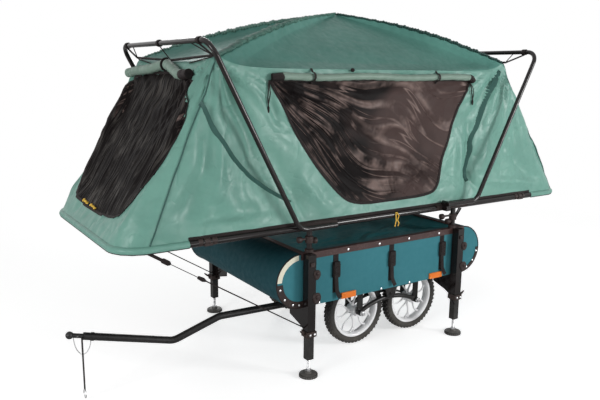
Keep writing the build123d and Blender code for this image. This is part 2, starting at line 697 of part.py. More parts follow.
def end_rails(front):
    """U-shaped rail of one folding end of the bed, with its hinge ears."""
    sign = 1 if front else -1
    start = sign * (HINGE_X + HINGE_GAP)
    tip = sign * (BED_LENGTH / 2 - BED_TUBE_R)
    points = ((start, BED_RAIL_Y, BED_RAIL_Z), (tip, BED_RAIL_Y, BED_RAIL_Z),
              (tip, -BED_RAIL_Y, BED_RAIL_Z), (start, -BED_RAIL_Y, BED_RAIL_Z))
    rail = tube_along(points, BED_TUBE_R, BED_TUBE_WALL, BED_CORNER_R)
    for side in (1, -1):
        rail += ear_plate(front, False, side)
    return rail


def deck(x0, x1, notches):
    """Fabric deck between the rails, notched clear of the hinge ears."""
    half = BED_RAIL_Y - BED_TUBE_R
    low = BED_RAIL_Z - DECK_THICK / 2
    sheet = block(x0, x1, -half, half, low, low + DECK_THICK)
    for edge in notches:
        for side in (1, -1):
            sheet -= block(edge - NOTCH, edge + NOTCH, side * (half - DECK_INSET), side * (half + 1), low - 1,
                           low + DECK_THICK + 1)
    return sheet


def end_deck(front):
    """Deck of one folding end, with the bed's rounded corners."""
    sign = 1 if front else -1
    start = HINGE_X + HINGE_GAP
    tip = BED_LENGTH / 2 - 2 * BED_TUBE_R
    sheet = deck(start, tip, (HINGE_X,))
    corner = BED_CORNER_R - BED_TUBE_R
    posts = sheet.edges().filter_by(Axis.Z).group_by(Axis.X)[-1]
    sheet = fillet(posts, corner)
    return sheet if sign > 0 else mirror(sheet, about=Plane.YZ)


def hoop(front):
    """Tent hoop: foot along the rail from its pivot, bent up to a square-topped bow."""
    pivot_z = BED_RAIL_Z + (0.0 if front else REAR_HOOP_LIFT)
    leg_y = FRONT_HOOP_Y if front else REAR_HOOP_Y
    foot_x = HOOP_TOP_X - (HOOP_TOP_Z - pivot_z) / tan(radians(HOOP_ANGLE))
    half = []
    for x, z in ((HOOP_PIVOT_X - 20, pivot_z), (foot_x, pivot_z), (HOOP_TOP_X, HOOP_TOP_Z)):
        half.append((x, leg_y, z))
    points = half + [(x, -y, z) for x, y, z in reversed(half)]
    bow = tube_along(points, HOOP_R, 0, HOOP_BEND)
    return bow if front else mirror(bow, about=Plane.YZ)


def hoop_bolts():
    """Pivot bolts that carry the hoops on the middle rails."""
    bolts = []
    for front in (True, False):
        x = HOOP_PIVOT_X if front else -HOOP_PIVOT_X
        z = BED_RAIL_Z + (0.0 if front else REAR_HOOP_LIFT)
        for side in (1, -1):
            inner = side * (BED_RAIL_Y + BED_TUBE_R)
            leg_y = FRONT_HOOP_Y if front else REAR_HOOP_Y
            outer = side * (leg_y - HOOP_R - HOOP_CLEAR)
            bolt = rod((x, inner - side * 6, z), (x, outer, z), HOOP_BOSS_R)
            if not front:
                bolt += block(x - 12, x + 12, min(inner - side * 6, outer), max(inner - side * 6, outer),
                              BED_RAIL_Z - 8, z)
            bolts.append(bolt - rail_envelope(side))
    return bolts


def rail_envelope(side):
    """Solid round bar the size of one middle rail, to seat other pieces on it."""
    y = side * BED_RAIL_Y
    return rod((-HINGE_X, y, BED_RAIL_Z), (HINGE_X, y, BED_RAIL_Z), BED_TUBE_R)


def masts():
    """Posts from the box's top rails up to the bed's middle rails."""
    posts = []
    for x in (MAST_X, -MAST_X):
        for side in (1, -1):
            y = side * MAST_Y
            post = rod((x, y, RAIL_TOP), (x, y, BED_RAIL_Z - 2), MAST_R, MAST_R - MAST_WALL)
            posts.append(post - rail_envelope(side))
    return posts


# Hand knobs on the posts: post's x sign, knob's reach from the post along x, height
KNOBS = ((1, 54.0, 552.0), (1, -30.0, 542.0), (-1, 78.0, 556.0), (-1, 40.0, 530.0))
KNOB_R = 11.0
KNOB_LENGTH = 16.0
KNOB_ROD_R = 4.0
COLLAR_R = 16.0
COLLAR_HEIGHT = 9.0


def mast_knobs():
    """Collars round the posts with their hand knobs."""
    pieces = []
    for side in (1, -1):
        y = side * MAST_Y
        for sign, reach, z in KNOBS:
            x = sign * MAST_X
            way = 1 if reach > 0 else -1
            collar = rod((x, y, z - COLLAR_HEIGHT / 2), (x, y, z + COLLAR_HEIGHT / 2), COLLAR_R, MAST_R)
            stem = rod((x + way * (MAST_R + 1), y, z), (x + reach, y, z), KNOB_ROD_R)
            knob = rod((x + reach - way * KNOB_LENGTH, y, z), (x + reach, y, z), KNOB_R)
            pieces.append(collar + stem + knob)
    return pieces


def rail_boots():
    """Cloth pockets round the outer half of the middle rails, where the hoops' feet lie."""
    boots = []
    for side in (1, -1):
        y = side * BED_RAIL_Y
        for x0, x1 in BOOT_SPANS:
            sleeve = rod((x0, y, BED_RAIL_Z), (x1, y, BED_RAIL_Z), BED_TUBE_R + BOOT_THICK, BED_TUBE_R)
            low, high = BED_RAIL_Z - 2 * BED_TUBE_R, BED_RAIL_Z + BED_TUBE_R + TENT_SEAT
            sleeve &= block(x0 - 1, x1 + 1, y, y + side * 2 * BED_TUBE_R, low, high)
            for x in (HOOP_PIVOT_X, -HOOP_PIVOT_X):
                sleeve -= block(x - BOOT_GAP, x + BOOT_GAP, y, y + side * 2 * BED_TUBE_R, low, high)
            for x in (MAST_X, -MAST_X):
                sleeve -= rod((x, side * MAST_Y, low), (x, side * MAST_Y, BED_RAIL_Z), MAST_R)
            boots += list(sleeve.solids())
    return boots


def front_stays():
    """Taut stays from the bed's front rails down to the front leg sleeves."""
    post_face = LEG_X + SLEEVE / 2 + TENT_SEAT
    foot = (post_face - 2, STAY_FOOT_Y, STAY_FOOT_Z)
    stay = rod(foot, STAY_TOP, STAY_R) - block(LEG_X, post_face, 0, LEG_Y + SLEEVE, 0, RAIL_TOP)
    stay -= rod((HINGE_X, BED_RAIL_Y, BED_RAIL_Z), (BED_LENGTH / 2, BED_RAIL_Y, BED_RAIL_Z), BED_TUBE_R)
    return both_sides(stay)


def hitch_strap():
    """Safety webbing that hangs from the hitch's neck."""
    along = bar_direction()
    top = Vector(*BAR_END) + along * 12
    x, y = top.X, top.Y
    thick, wide = STRAP_THICK / 2, STRAP_W / 2
    strap = block(x - thick, x + thick, y - wide, y + wide, STRAP_BOTTOM, top.Z)
    return strap - strap_ring() - rod(BAR_END, tuple(top + along * 40), NECK_R)


def strap_ring():
    """Wire ring at the strap's lower end."""
    along = bar_direction()
    top = Vector(*BAR_END) + along * 12
    z = STRAP_BOTTOM - RING_R
    place = Plane(origin=(top.X, top.Y, z), x_dir=(0, 1, 0), z_dir=(1, 0, 0))
    return Location(place) * Torus(RING_R, RING_WIRE_R)


def arc_radii(points):
    """Largest arc that fits each corner of a cable's route."""
    radii = []
    for before, corner, after in zip(points, points[1:], points[2:]):
        arriving = corner - before
        leaving = after - corner
        half_turn = radians(arriving.get_angle(leaving)) / 2
        radii.append(ARC_SHARE * min(arriving.length, leaving.length) / tan(half_turn))
    return radii


def pin_wire():
    """Thin retaining cable that hangs from the neck's peg back to the drawbar's peg."""
    along = bar_direction()
    start = Vector(*BAR_END) + along * NECK_PEG - Vector(0, NECK_R + 3, PEG_R)
    finish = Vector(*BAR_END) + along * BAR_PEG - Vector(0, BAR_R + 6, PEG_R)
    points = [start + Vector(dx, 0, dz) for dx, dz in WIRE_DROPS] + [finish]
    radii = arc_radii(points)
    route = FilletPolyline(*points, radius=radii)
    section = Plane(origin=route @ 0, z_dir=route % 0)
    cable = sweep(section * Circle(CORD_R), path=route)
    print("cable radii", [round(radius, 1) for radius in radii], "length", round(route.length, 1),
          "volume error", round(cable.volume / (route.length * pi * CORD_R ** 2) - 1, 4))
    return cable


def reflectors():
    """Two orange reflectors on each side, on the panel's lower edge."""
    plates = []
    for x in REFLECTOR_XS:
        plate = block(x - REFLECTOR_HALF, x + REFLECTOR_HALF, PANEL_OUT, PANEL_OUT + 8,
                      BOX_BOTTOM + 2, BOX_BOTTOM + 26)
        plates += both_sides(plate)
    return plates


def cargo_straps():
    """Webbing straps down each panel."""
    straps = []
    for x in STRAP_XS:
        strap = block(x - STRAP_HALF, x + STRAP_HALF, PANEL_OUT, PANEL_OUT + 1.6,
                      BOX_BOTTOM + 34, RAIL_TOP - RAIL)
        buckle = block(x - BUCKLE_HALF, x + BUCKLE_HALF, PANEL_OUT + 1.6, PANEL_OUT + 11, 382, 432)
        straps += both_sides(strap + buckle)
    return straps


def build_nodes():
    """Every node of the trailer by name, each a shape or a list of solids."""
    nodes = {
        "top_frame": top_frame(),
        "floor_frame": floor_frame(),
        "side_panel_left": side_panel(),
        "side_panel_right": mirror(side_panel(), about=Plane.XZ),
        "front_skin": end_skin(True),
        "rear_skin": end_skin(False),
        "floor": floor(),
        "leg_sleeves": [piece for x in (LEG_X, -LEG_X) for piece in both_sides(leg_sleeve(x))],
        "corner_guards": [piece for front in (True, False) for piece in both_sides(corner_guard(front))],
        "beam_left": beam(),
        "beam_right": mirror(beam(), about=Plane.XZ),
        "beam_hangers": [piece for plate in beam_hangers() for piece in both_sides(plate)],
        "drawbar": drawbar(),
        "drawbar_clamp": drawbar_clamp(),
        "hitch_head": hitch_head(),
        "safety_strap": hitch_strap(),
        "strap_ring": strap_ring(),
        "pin_wire": pin_wire(),
        "bed_masts": masts(),
        "mid_rails": mid_rails(),
        "mid_deck": deck(-HINGE_X + HINGE_GAP, HINGE_X - HINGE_GAP, (HINGE_X, -HINGE_X)),
        "hoop_bolts": hoop_bolts(),
        "reflectors": reflectors(),
        "cargo_straps": cargo_straps(),
        "front_rails": end_rails(True),
        "front_deck": end_deck(True),
        "rear_rails": end_rails(False),
        "rear_deck": end_deck(False),
        "cargo_cover": cargo_cover(),
        "reflective_tape": both_sides(reflective_tape()),
        "leg_locks": [piece for x in (LEG_X, -LEG_X) for lock in leg_lock(x) for piece in both_sides(lock)],
        "mast_knobs": mast_knobs(),
        "rail_boots": rail_boots(),
        "front_stays": front_stays(),
        "front_hoop": hoop(True),
        "rear_hoop": hoop(False),
    }
    ends = (("front", 1, AXLE_XS[0]), ("rear", -1, AXLE_XS[1]))
    for end, x_sign, axle_x in ends:
        for side_name, side in (("left", 1), ("right", -1)):
            hub = Pos(axle_x, side * WHEEL_Y, TYRE_R)
            nodes[f"tyre_{end}_{side_name}"] = hub * tyre()
            nodes[f"wheel_{end}_{side_name}"] = hub * wheel()
            nodes[f"leg_{end}_{side_name}"] = leg(x_sign * LEG_X, side)
    fabric, mesh, flaps = tent_shells()
    for name, x0, x1 in TENT_CUTS:
        cell = block(x0, x1, -600, 600, 500, 1600)
        pieces = [whole & cell for whole in (fabric, *flaps)]
        nodes[f"tent_{name}"] = [piece for piece in pieces if piece]
        nodes[f"mesh_{name}"] = mesh & cell
    return nodes


HITCH_TIP = Vector(*BAR_END) + bar_direction() * (NECK_LENGTH + 8) + Vector(BALL_R, 0, 0)
ORIGIN_X = (HITCH_TIP.X - BED_LENGTH / 2) / 2

if __name__ == "__main__":
    os.makedirs("parts", exist_ok=True)
    for name, shape in build_nodes().items():
        solids = []
        for piece in shape if isinstance(shape, list) else [shape]:
            solids += list(piece.solids())
        placed = [Pos(-ORIGIN_X, 0, 0) * solid for solid in solids]
        whole = placed[0] if len(placed) == 1 else Compound(children=placed)
        export_step(whole, f"parts/{name}.step")
        print(f"{name:20s} {len(placed):3d} solids {sum(s.volume for s in placed) / 1000:10.1f} cm3")
    print("origin shift", round(ORIGIN_X, 3))
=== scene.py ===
"""Looks of a bicycle's folding camper trailer: coated nylon tent on a folding bed over a cargo box.

Lengths in the tables are millimetres in the maker's frame: x forward with 0 midway between the
legs, y to the left, z up from the floor. at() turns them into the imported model's metres.
"""

from collections import Counter
from math import atan2, cos, exp, hypot, pi, radians, sin, sqrt

import bmesh
import bpy
from mathutils import Matrix, Vector, noise
from mathutils.bvhtree import BVHTree


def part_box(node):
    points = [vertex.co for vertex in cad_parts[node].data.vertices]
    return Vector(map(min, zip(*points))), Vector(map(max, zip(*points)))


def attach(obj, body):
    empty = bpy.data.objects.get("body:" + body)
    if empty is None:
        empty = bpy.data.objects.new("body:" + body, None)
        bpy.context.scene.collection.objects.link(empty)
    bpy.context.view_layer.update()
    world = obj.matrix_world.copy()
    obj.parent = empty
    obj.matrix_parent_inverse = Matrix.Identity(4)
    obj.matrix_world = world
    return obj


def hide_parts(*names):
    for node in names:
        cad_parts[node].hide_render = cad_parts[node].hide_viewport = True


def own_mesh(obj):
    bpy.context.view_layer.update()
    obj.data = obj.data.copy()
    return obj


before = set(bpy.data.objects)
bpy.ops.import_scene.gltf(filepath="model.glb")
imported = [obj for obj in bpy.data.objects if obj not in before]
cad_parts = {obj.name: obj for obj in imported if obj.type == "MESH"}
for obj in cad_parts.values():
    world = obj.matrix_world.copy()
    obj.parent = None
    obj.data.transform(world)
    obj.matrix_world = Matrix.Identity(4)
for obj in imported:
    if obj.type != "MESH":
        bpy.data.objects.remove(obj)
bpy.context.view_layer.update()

sleeve_low, sleeve_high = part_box("leg_sleeves")
MID_X = (sleeve_low.x + sleeve_high.x) / 2
MM = 0.001


def at(x, y, z):
    """Point of the maker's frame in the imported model's metres."""
    return Vector((x * MM + MID_X, y * MM, z * MM))


# Camera, floor and light
CAMERA_AT = at(1748.4, 2376.5, 1179.5)
CAMERA_YAW, CAMERA_PITCH, CAMERA_ROLL = radians(-123.52), radians(-11.23), radians(0.62)
CAMERA_LENS = 38.83
SOFT_LIGHT, FLOOR_GLOW = 0.26, 0.56


def make_camera():
    """Camera at the photograph's viewing angle."""
    data = bpy.data.cameras.new("camera")
    data.lens = CAMERA_LENS
    data.clip_start, data.clip_end = 0.05, 60.0
    camera = bpy.data.objects.new("camera", data)
    bpy.context.scene.collection.objects.link(camera)
    level = cos(CAMERA_PITCH)
    forward = Vector((level * cos(CAMERA_YAW), level * sin(CAMERA_YAW), sin(CAMERA_PITCH)))
    right = forward.cross(Vector((0, 0, 1))).normalized()
    up = right.cross(forward)
    turned_right = right * cos(CAMERA_ROLL) + up * sin(CAMERA_ROLL)
    turned_up = up * cos(CAMERA_ROLL) - right * sin(CAMERA_ROLL)
    turn = Matrix((turned_right, turned_up, -forward)).transposed()
    camera.matrix_world = Matrix.Translation(CAMERA_AT) @ turn.to_4x4()
    bpy.context.scene.camera = camera


def area_lamp(name, place, target, size, power):
    """Square soft light aimed at a point."""
    data = bpy.data.lights.new(name, "AREA")
    data.size, data.energy = size, power
    lamp = bpy.data.objects.new(name, data)
    lamp.location = place
    lamp.rotation_mode = "QUATERNION"
    lamp.rotation_quaternion = (Vector(target) - Vector(place)).to_track_quat("-Z", "Y")
    bpy.context.scene.collection.objects.link(lamp)


def wire(tree, start, end):
    """Join two sockets."""
    tree.links.new(start, end)


def add(tree, kind, **settings):
    """New shader node; settings name its properties, or input sockets by in_NAME."""
    node = tree.nodes.new(kind)
    for key, value in settings.items():
        if key.startswith("in_"):
            name = key[3:]
            socket = node.inputs[int(name) if name.isdigit() else name.replace("_", " ")]
            if isinstance(value, bpy.types.NodeSocket):
                tree.links.new(value, socket)
            else:
                socket.default_value = value
        else:
            setattr(node, key, value)
    return node


def here(tree):
    """Place on the piece and its x, y and z."""
    place = add(tree, "ShaderNodeTexCoord").outputs["Object"]
    return place, add(tree, "ShaderNodeSeparateXYZ", in_0=place).outputs


def calc(tree, operation, *values):
    """Result of a sum on numbers or sockets."""
    given = {f"in_{i}": value for i, value in enumerate(values)}
    return add(tree, "ShaderNodeMath", operation=operation, **given).outputs[0]


def product(tree, first, *others):
    """Numbers or sockets multiplied."""
    for other in others:
        first = calc(tree, "MULTIPLY", first, other)
    return first


def ramp(tree, value, low, high, start=0.0, end=1.0):
    """Value spread from one range over another, held at its ends."""
    return add(tree, "ShaderNodeMapRange", in_0=value, in_1=low, in_2=high, in_3=start, in_4=end).outputs[0]


def speckle(tree, place, scale, detail, **settings):
    """Noise from 0 to 1."""
    node = add(tree, "ShaderNodeTexNoise", in_Vector=place, in_Scale=scale, in_Detail=detail, **settings)
    return node.outputs["Fac"]


def blend(tree, share, first, second):
    """Colour between two."""
    return add(tree, "ShaderNodeMix", data_type="RGBA", in_0=share, in_6=first, in_7=second).outputs[2]


def paired(tree, x, y):
    """Vector of two numbers."""
    return add(tree, "ShaderNodeCombineXYZ", in_X=x, in_Y=y).outputs[0]


def make_stage():
    """Pale floor that keeps the shadow, white backdrop for the camera, and plain studio light."""
    scene = bpy.context.scene
    scene.view_settings.view_transform = "Standard"
    world = bpy.data.worlds.new("studio")
    scene.world = world
    world.use_nodes = True
    tree = world.node_tree
    tree.nodes.clear()
    path = add(tree, "ShaderNodeLightPath").outputs
    seen = calc(tree, "MAXIMUM", path["Is Camera Ray"], path["Is Glossy Ray"])
    seen = calc(tree, "MAXIMUM", seen, path["Is Transmission Ray"])
    soft = add(tree, "ShaderNodeBackground", in_Color=(1.0, 1.0, 1.0, 1.0), in_Strength=SOFT_LIGHT)
    white = add(tree, "ShaderNodeBackground", in_Color=(1.0, 1.0, 1.0, 1.0), in_Strength=1.0)
    mix = add(tree, "ShaderNodeMixShader", in_0=seen, in_1=soft.outputs[0], in_2=white.outputs[0])
    out = add(tree, "ShaderNodeOutputWorld")
    wire(tree, mix.outputs[0], out.inputs["Surface"])

    bm = bmesh.new()
    bmesh.ops.create_grid(bm, x_segments=2, y_segments=2, size=14.0)
    mesh = bpy.data.meshes.new("floor")
    bm.to_mesh(mesh)
    bm.free()
    floor = bpy.data.objects.new("floor", mesh)
    scene.collection.objects.link(floor)
    material = bpy.data.materials.new("pale floor")
    material.use_nodes = True
    tree = material.node_tree
    tree.nodes.clear()
    path = add(tree, "ShaderNodeLightPath").outputs
    paper = add(tree, "ShaderNodeBsdfDiffuse", in_Color=(0.93, 0.93, 0.93, 1.0))
    glow = add(tree, "ShaderNodeEmission", in_Strength=product(tree, path["Is Camera Ray"], FLOOR_GLOW))
    near = add(tree, "ShaderNodeAddShader", in_0=paper.outputs[0], in_1=glow.outputs[0])
    reach = add(tree, "ShaderNodeVectorMath", operation="LENGTH", in_0=here(tree)[0]).outputs["Value"]
    far = product(tree, ramp(tree, reach, 2.2, 3.6), path["Is Camera Ray"])
    backdrop = add(tree, "ShaderNodeEmission", in_Strength=1.0)
    both = add(tree, "ShaderNodeMixShader", in_0=far, in_1=near.outputs[0], in_2=backdrop.outputs[0])
    out = add(tree, "ShaderNodeOutputMaterial")
    wire(tree, both.outputs[0], out.inputs["Surface"])
    floor.data.materials.append(material)

    area_lamp("key", at(-2500, 3700, 1400), at(0, 0, 850), 1.1, 96.0)
    area_lamp("front fill", at(4200, 1300, 1300), at(300, 0, 750), 1.5, 74.0)
    area_lamp("back fill", at(-1600, -4000, 1900), at(0, 0, 700), 1.6, 46.0)
    area_lamp("low fill", at(-300, 3400, 420), at(-100, 250, 180), 1.2, 16.0)


# Finishes
COLOUR, NUMBER = "NodeSocketColor", "NodeSocketFloat"


def effect(name, colours, numbers):
    """Empty shader node group with named sockets: its group, given values and places for its results."""
    tree = bpy.data.node_groups.new(name, "ShaderNodeTree")
    for labels, kind in ((colours, COLOUR), (numbers, NUMBER)):
        for label in labels:
            tree.interface.new_socket(label, in_out="INPUT", socket_type=kind)
    for label, kind in (("Colour", COLOUR), ("Roughness", NUMBER), ("Height", NUMBER)):
        tree.interface.new_socket(label, in_out="OUTPUT", socket_type=kind)
    return tree, add(tree, "NodeGroupInput").outputs, add(tree, "NodeGroupOutput").inputs


def coated_cloth():
    """Woven cloth: broad tone changes, fine threads and small creases."""
    tree, given, made = effect("coated cloth", ["Colour", "Shade"],
                               ["Mottle", "Threads per m", "Thread", "Crease", "Gloss low", "Gloss high"])
    place, split = here(tree)
    fine = speckle(tree, place, 46.0, 3.0)
    broad = speckle(tree, place, 3.1, 4.0, in_Roughness=0.55)
    tone = calc(tree, "MULTIPLY_ADD", broad, 0.75, product(tree, fine, 0.25))
    share = product(tree, ramp(tree, tone, 0.32, 0.68), given["Mottle"])
    wire(tree, blend(tree, share, given["Colour"], given["Shade"]), made["Colour"])
    wire(tree, ramp(tree, fine, 0.3, 0.7, given["Gloss low"], given["Gloss high"]), made["Roughness"])
    runs = (calc(tree, "ADD", split["X"], split["Y"]), split["Z"])
    waves = [calc(tree, "SINE", product(tree, run, given["Threads per m"])) for run in runs]
    crease = speckle(tree, place, 7.0, 3.0, in_Roughness=0.45, in_Distortion=0.4)
    crease = calc(tree, "POWER", calc(tree, "ABSOLUTE", calc(tree, "SUBTRACT", crease, 0.5)), 0.8)
    relief = calc(tree, "ADD", product(tree, *waves, given["Thread"]), product(tree, crease, given["Crease"]))
    wire(tree, relief, made["Height"])
    return tree


def worn_coat():
    """Painted, cast or moulded surface: grain, scuffs in a second colour and dust near the floor."""
    tree, given, made = effect("worn coat", ["Colour", "Scuff colour"],
                               ["Scuff", "Dust", "Grain scale", "Gloss low", "Gloss high"])
    place, split = here(tree)
    patches = speckle(tree, place, 9.0, 6.0, in_Roughness=0.7)
    meet = product(tree, patches, speckle(tree, place, 140.0, 2.0))
    scuff = product(tree, ramp(tree, meet, 0.27, 0.40), given["Scuff"])
    colour = blend(tree, scuff, given["Colour"], given["Scuff colour"])
    dust = product(tree, ramp(tree, split["Z"], 0.0, 0.28, 1.0, 0.0), given["Dust"], patches)
    wire(tree, blend(tree, dust, colour, (0.34, 0.31, 0.27, 1)), made["Colour"])
    wire(tree, ramp(tree, patches, 0.3, 0.7, given["Gloss low"], given["Gloss high"]), made["Roughness"])
    wire(tree, speckle(tree, place, given["Grain scale"], 2.0), made["Height"])
    return tree


def streak_lines(tree, place, width, softness):
    """Thin lines where a stretched noise crosses its middle, from 0 to 1."""
    off = calc(tree, "ABSOLUTE", calc(tree, "SUBTRACT", speckle(tree, place, 1.0, 1.2), 0.5))
    return ramp(tree, off, width, width + softness, 1.0, 0.0)


def crumpled_net():
    """Side window net: painted highlights on creases that spread from its upper front corner, and broad dark
    and painted sheen patches.
    """
    tree, given, made = effect("crumpled net", ["Colour", "Streak colour", "Matt colour"],
                               ["Corner x", "Corner z", "Rays", "Streaks"])
    place, split = here(tree)
    across = calc(tree, "SUBTRACT", given["Corner x"], split["X"])
    down = calc(tree, "SUBTRACT", given["Corner z"], split["Z"])
    flat = paired(tree, across, down)
    away = add(tree, "ShaderNodeVectorMath", operation="LENGTH", in_0=flat).outputs["Value"]
    turn = calc(tree, "ARCTAN2", down, across)
    turn = calc(tree, "MULTIPLY_ADD", speckle(tree, place, 3.0, 0.0), 0.38, turn)
    lines = []
    for share, stretch, softness in ((3.0, 2.6, 0.032), (1.1, 1.4, 0.045)):
        fan = paired(tree, product(tree, turn, given["Rays"], share), product(tree, away, stretch))
        lines.append(streak_lines(tree, fan, 0.003, softness))
    both = calc(tree, "MAXIMUM", *lines)
    patch = ramp(tree, speckle(tree, place, 9.0, 3.0, in_Roughness=0.65), 0.42, 0.62)
    lit = product(tree, both, patch, given["Streaks"])
    # Painted sheen: patches away from the corner turn to the lighter matt colour.
    lean = calc(tree, "MULTIPLY_ADD", away, 0.42, speckle(tree, place, 3.4, 2.0))
    ground = blend(tree, ramp(tree, lean, 0.70, 0.88), given["Colour"], given["Matt colour"])
    wire(tree, blend(tree, lit, ground, given["Streak colour"]), made["Colour"])
    wire(tree, ramp(tree, lit, 0.0, 1.0, 0.5, 0.28), made["Roughness"])
    wire(tree, both, made["Height"])
    return tree


def hanging_net():
    """Door net: long upright streaks of painted highlight, brightest low down."""
    tree, given, made = effect("hanging net", ["Colour", "Streak colour"], ["Threads per m", "Streaks"])
    place, split = here(tree)
    strands = paired(tree, product(tree, split["Y"], given["Threads per m"]), product(tree, split["Z"], 5.5))
    lines = streak_lines(tree, strands, 0.006, 0.06)
    patch = ramp(tree, speckle(tree, place, 11.0, 3.0, in_Roughness=0.6), 0.40, 0.66)
    low = ramp(tree, split["Z"], 0.70, 1.0, 1.0, 0.55)
    lit = product(tree, lines, patch, low, given["Streaks"])
    wire(tree, blend(tree, lit, given["Colour"], given["Streak colour"]), made["Colour"])
    wire(tree, ramp(tree, lit, 0.0, 1.0, 0.5, 0.3), made["Roughness"])
    wire(tree, lines, made["Height"])
    return tree


def finish(name, group, values, bump, reach, **shader):
    """Material of one effect group and a Principled shader; shader gives the shader's own sockets."""
    material = bpy.data.materials.new(name)
    material.use_nodes = True
    tree = material.node_tree
    tree.nodes.clear()
    group = add(tree, "ShaderNodeGroup", node_tree=group)
    for label, value in values.items():
        group.inputs[label].default_value = (*value, 1.0) if isinstance(value, tuple) else value
    result = group.outputs
    relief = add(tree, "ShaderNodeBump", in_Strength=bump, in_Distance=reach, in_Height=result["Height"])
    body = add(tree, "ShaderNodeBsdfPrincipled", in_Base_Color=result["Colour"],
               in_Roughness=result["Roughness"], in_Normal=relief.outputs["Normal"])
    for label, value in shader.items():
        body.inputs[label.replace("_", " ")].default_value = value
    out = add(tree, "ShaderNodeOutputMaterial")
    wire(tree, body.outputs["BSDF"], out.inputs["Surface"])
    return material


CLOTH, COAT, CRUMPLED, HANGING = coated_cloth(), worn_coat(), crumpled_net(), hanging_net()


def cloth(name, colour, shade, mottle, threads, thread, crease, gloss, bump, reach, shine=0.5):
    """Material of a cloth; threads is per metre and gloss its lowest and highest roughness."""
    values = {"Colour": colour, "Shade": shade, "Mottle": mottle, "Threads per m": threads, "Thread": thread,
              "Crease": crease, "Gloss low": gloss[0], "Gloss high": gloss[1]}
    return finish(name, CLOTH, values, bump, reach, Specular_IOR_Level=shine)


def coat(name, colour, scuff_colour, scuff, dust, gloss, bump, reach, grain=300.0, shine=0.5, **shader):
    """Material of a painted, cast or moulded part; gloss is its lowest and highest roughness."""
    values = {"Colour": colour, "Scuff colour": scuff_colour, "Scuff": scuff, "Dust": dust,
              "Grain scale": grain, "Gloss low": gloss[0], "Gloss high": gloss[1]}
    return finish(name, COAT, values, bump, reach, Specular_IOR_Level=shine, **shader)


NYLON = cloth("teal coated nylon", (0.160, 0.338, 0.278), (0.098, 0.226, 0.190), 0.55, 2600.0, 0.0006, 0.7,
              (0.3, 0.44), 1.0, 0.016, 0.25)
# The same nylon as the walls, made darker for the roof faces: painted shade.
ROOF = cloth("roof nylon with painted shade", (0.094, 0.250, 0.210), (0.048, 0.150, 0.124), 0.75, 2600.0, 0.0006, 0.35,
             (0.34, 0.5), 1.0, 0.016, 0.2)
PALE_NYLON = cloth("nylon inner side", (0.205, 0.290, 0.238), (0.135, 0.205, 0.168), 0.6, 2600.0, 0.001, 0.5,
                   (0.4, 0.55), 0.8, 0.010, 0.25)
# The nets' light streaks are painted highlights, and the side net's lighter matt patches are painted sheen.
NET = finish("brown insect net", CRUMPLED,
             {"Colour": (0.0055, 0.0040, 0.0040), "Streak colour": (0.20, 0.145, 0.13),
              "Matt colour": (0.058, 0.038, 0.035), "Corner x": 0.60 + MID_X, "Corner z": 1.20, "Rays": 7.0,
              "Streaks": 0.9}, 0.5, 0.004, Specular_IOR_Level=0.06)
# The door net's light streaks are painted highlights.
DOOR_NET = finish("black door net", HANGING,
                  {"Colour": (0.0065, 0.0050, 0.0050), "Streak colour": (0.125, 0.115, 0.105),
                   "Threads per m": 62.0, "Streaks": 0.8}, 0.4, 0.003, Specular_IOR_Level=0.03)
CANVAS = cloth("dark teal box cloth", (0.044, 0.190, 0.224), (0.030, 0.148, 0.178), 0.7, 3000.0, 0.01, 0.35,
               (0.55, 0.72), 0.35, 0.003, 0.12)
# The box cloth made darker for the front skin: painted shade under the overhanging bed.
SHADED_CANVAS = cloth("teal end cloth with painted shade", (0.013, 0.062, 0.076), (0.008, 0.040, 0.050), 0.8, 3000.0, 0.01,
                      0.35, (0.5, 0.7), 0.5, 0.005, 0.12)
COVER = cloth("teal cover cloth", (0.046, 0.225, 0.245), (0.030, 0.165, 0.185), 0.8, 3000.0, 0.01, 0.35,
              (0.5, 0.7), 0.5, 0.004, 0.15)
WEBBING = cloth("brown black webbing", (0.016, 0.011, 0.0105), (0.008, 0.006, 0.006), 0.6, 3300.0, 0.5, 0.2,
                (0.5, 0.7), 0.5, 0.0012, 0.2)
YELLOW = cloth("yellow pull cord", (0.86, 0.56, 0.07), (0.66, 0.37, 0.04), 0.8, 5000.0, 0.4, 0.2,
               (0.5, 0.65), 0.4, 0.001)
# Cloth of the corner piping, and also of the painted hoop shadows on the side walls.
SEAM_AND_SHADOW_CLOTH = cloth("dark green seam and painted shadow cloth", (0.044, 0.112, 0.096), (0.030, 0.080, 0.069), 0.6, 2600.0, 0.004, 0.4,
             (0.4, 0.55), 0.4, 0.003, 0.2)
# A darker copy of the ridge sleeve cloth for the rear sleeves: painted shade.
SHADED_RIDGE_CLOTH = cloth("ridge cloth with painted shade", (0.034, 0.082, 0.072), (0.012, 0.034, 0.030), 0.9, 2600.0, 0.004,
                   0.5, (0.36, 0.5), 0.6, 0.005, 0.22)
PLEATED_NYLON = cloth("pleated green cloth", (0.120, 0.240, 0.195), (0.040, 0.105, 0.088), 1.0, 2600.0, 0.004,
                      0.5, (0.34, 0.5), 0.6, 0.005, 0.25)
BOOT = cloth("brown pocket cloth", (0.030, 0.019, 0.017), (0.014, 0.010, 0.009), 0.7, 2400.0, 0.3, 0.5,
             (0.42, 0.6), 0.5, 0.003, 0.2)
DECK = cloth("bed deck cloth", (0.026, 0.028, 0.026), (0.016, 0.018, 0.016), 0.7, 2600.0, 0.2, 0.3,
             (0.55, 0.7), 0.3, 0.002, 0.15)
TUBE = coat("dark bronze tube", (0.0085, 0.0062, 0.0060), (0.04, 0.030, 0.028), 0.1, 0.0,
            (0.10, 0.17), 0.004, 0.0004, shine=0.32)
BAND = coat("red brown rail band", (0.052, 0.027, 0.025), (0.16, 0.11, 0.10), 0.3, 0.0,
            (0.36, 0.5), 0.15, 0.0006, shine=0.25)
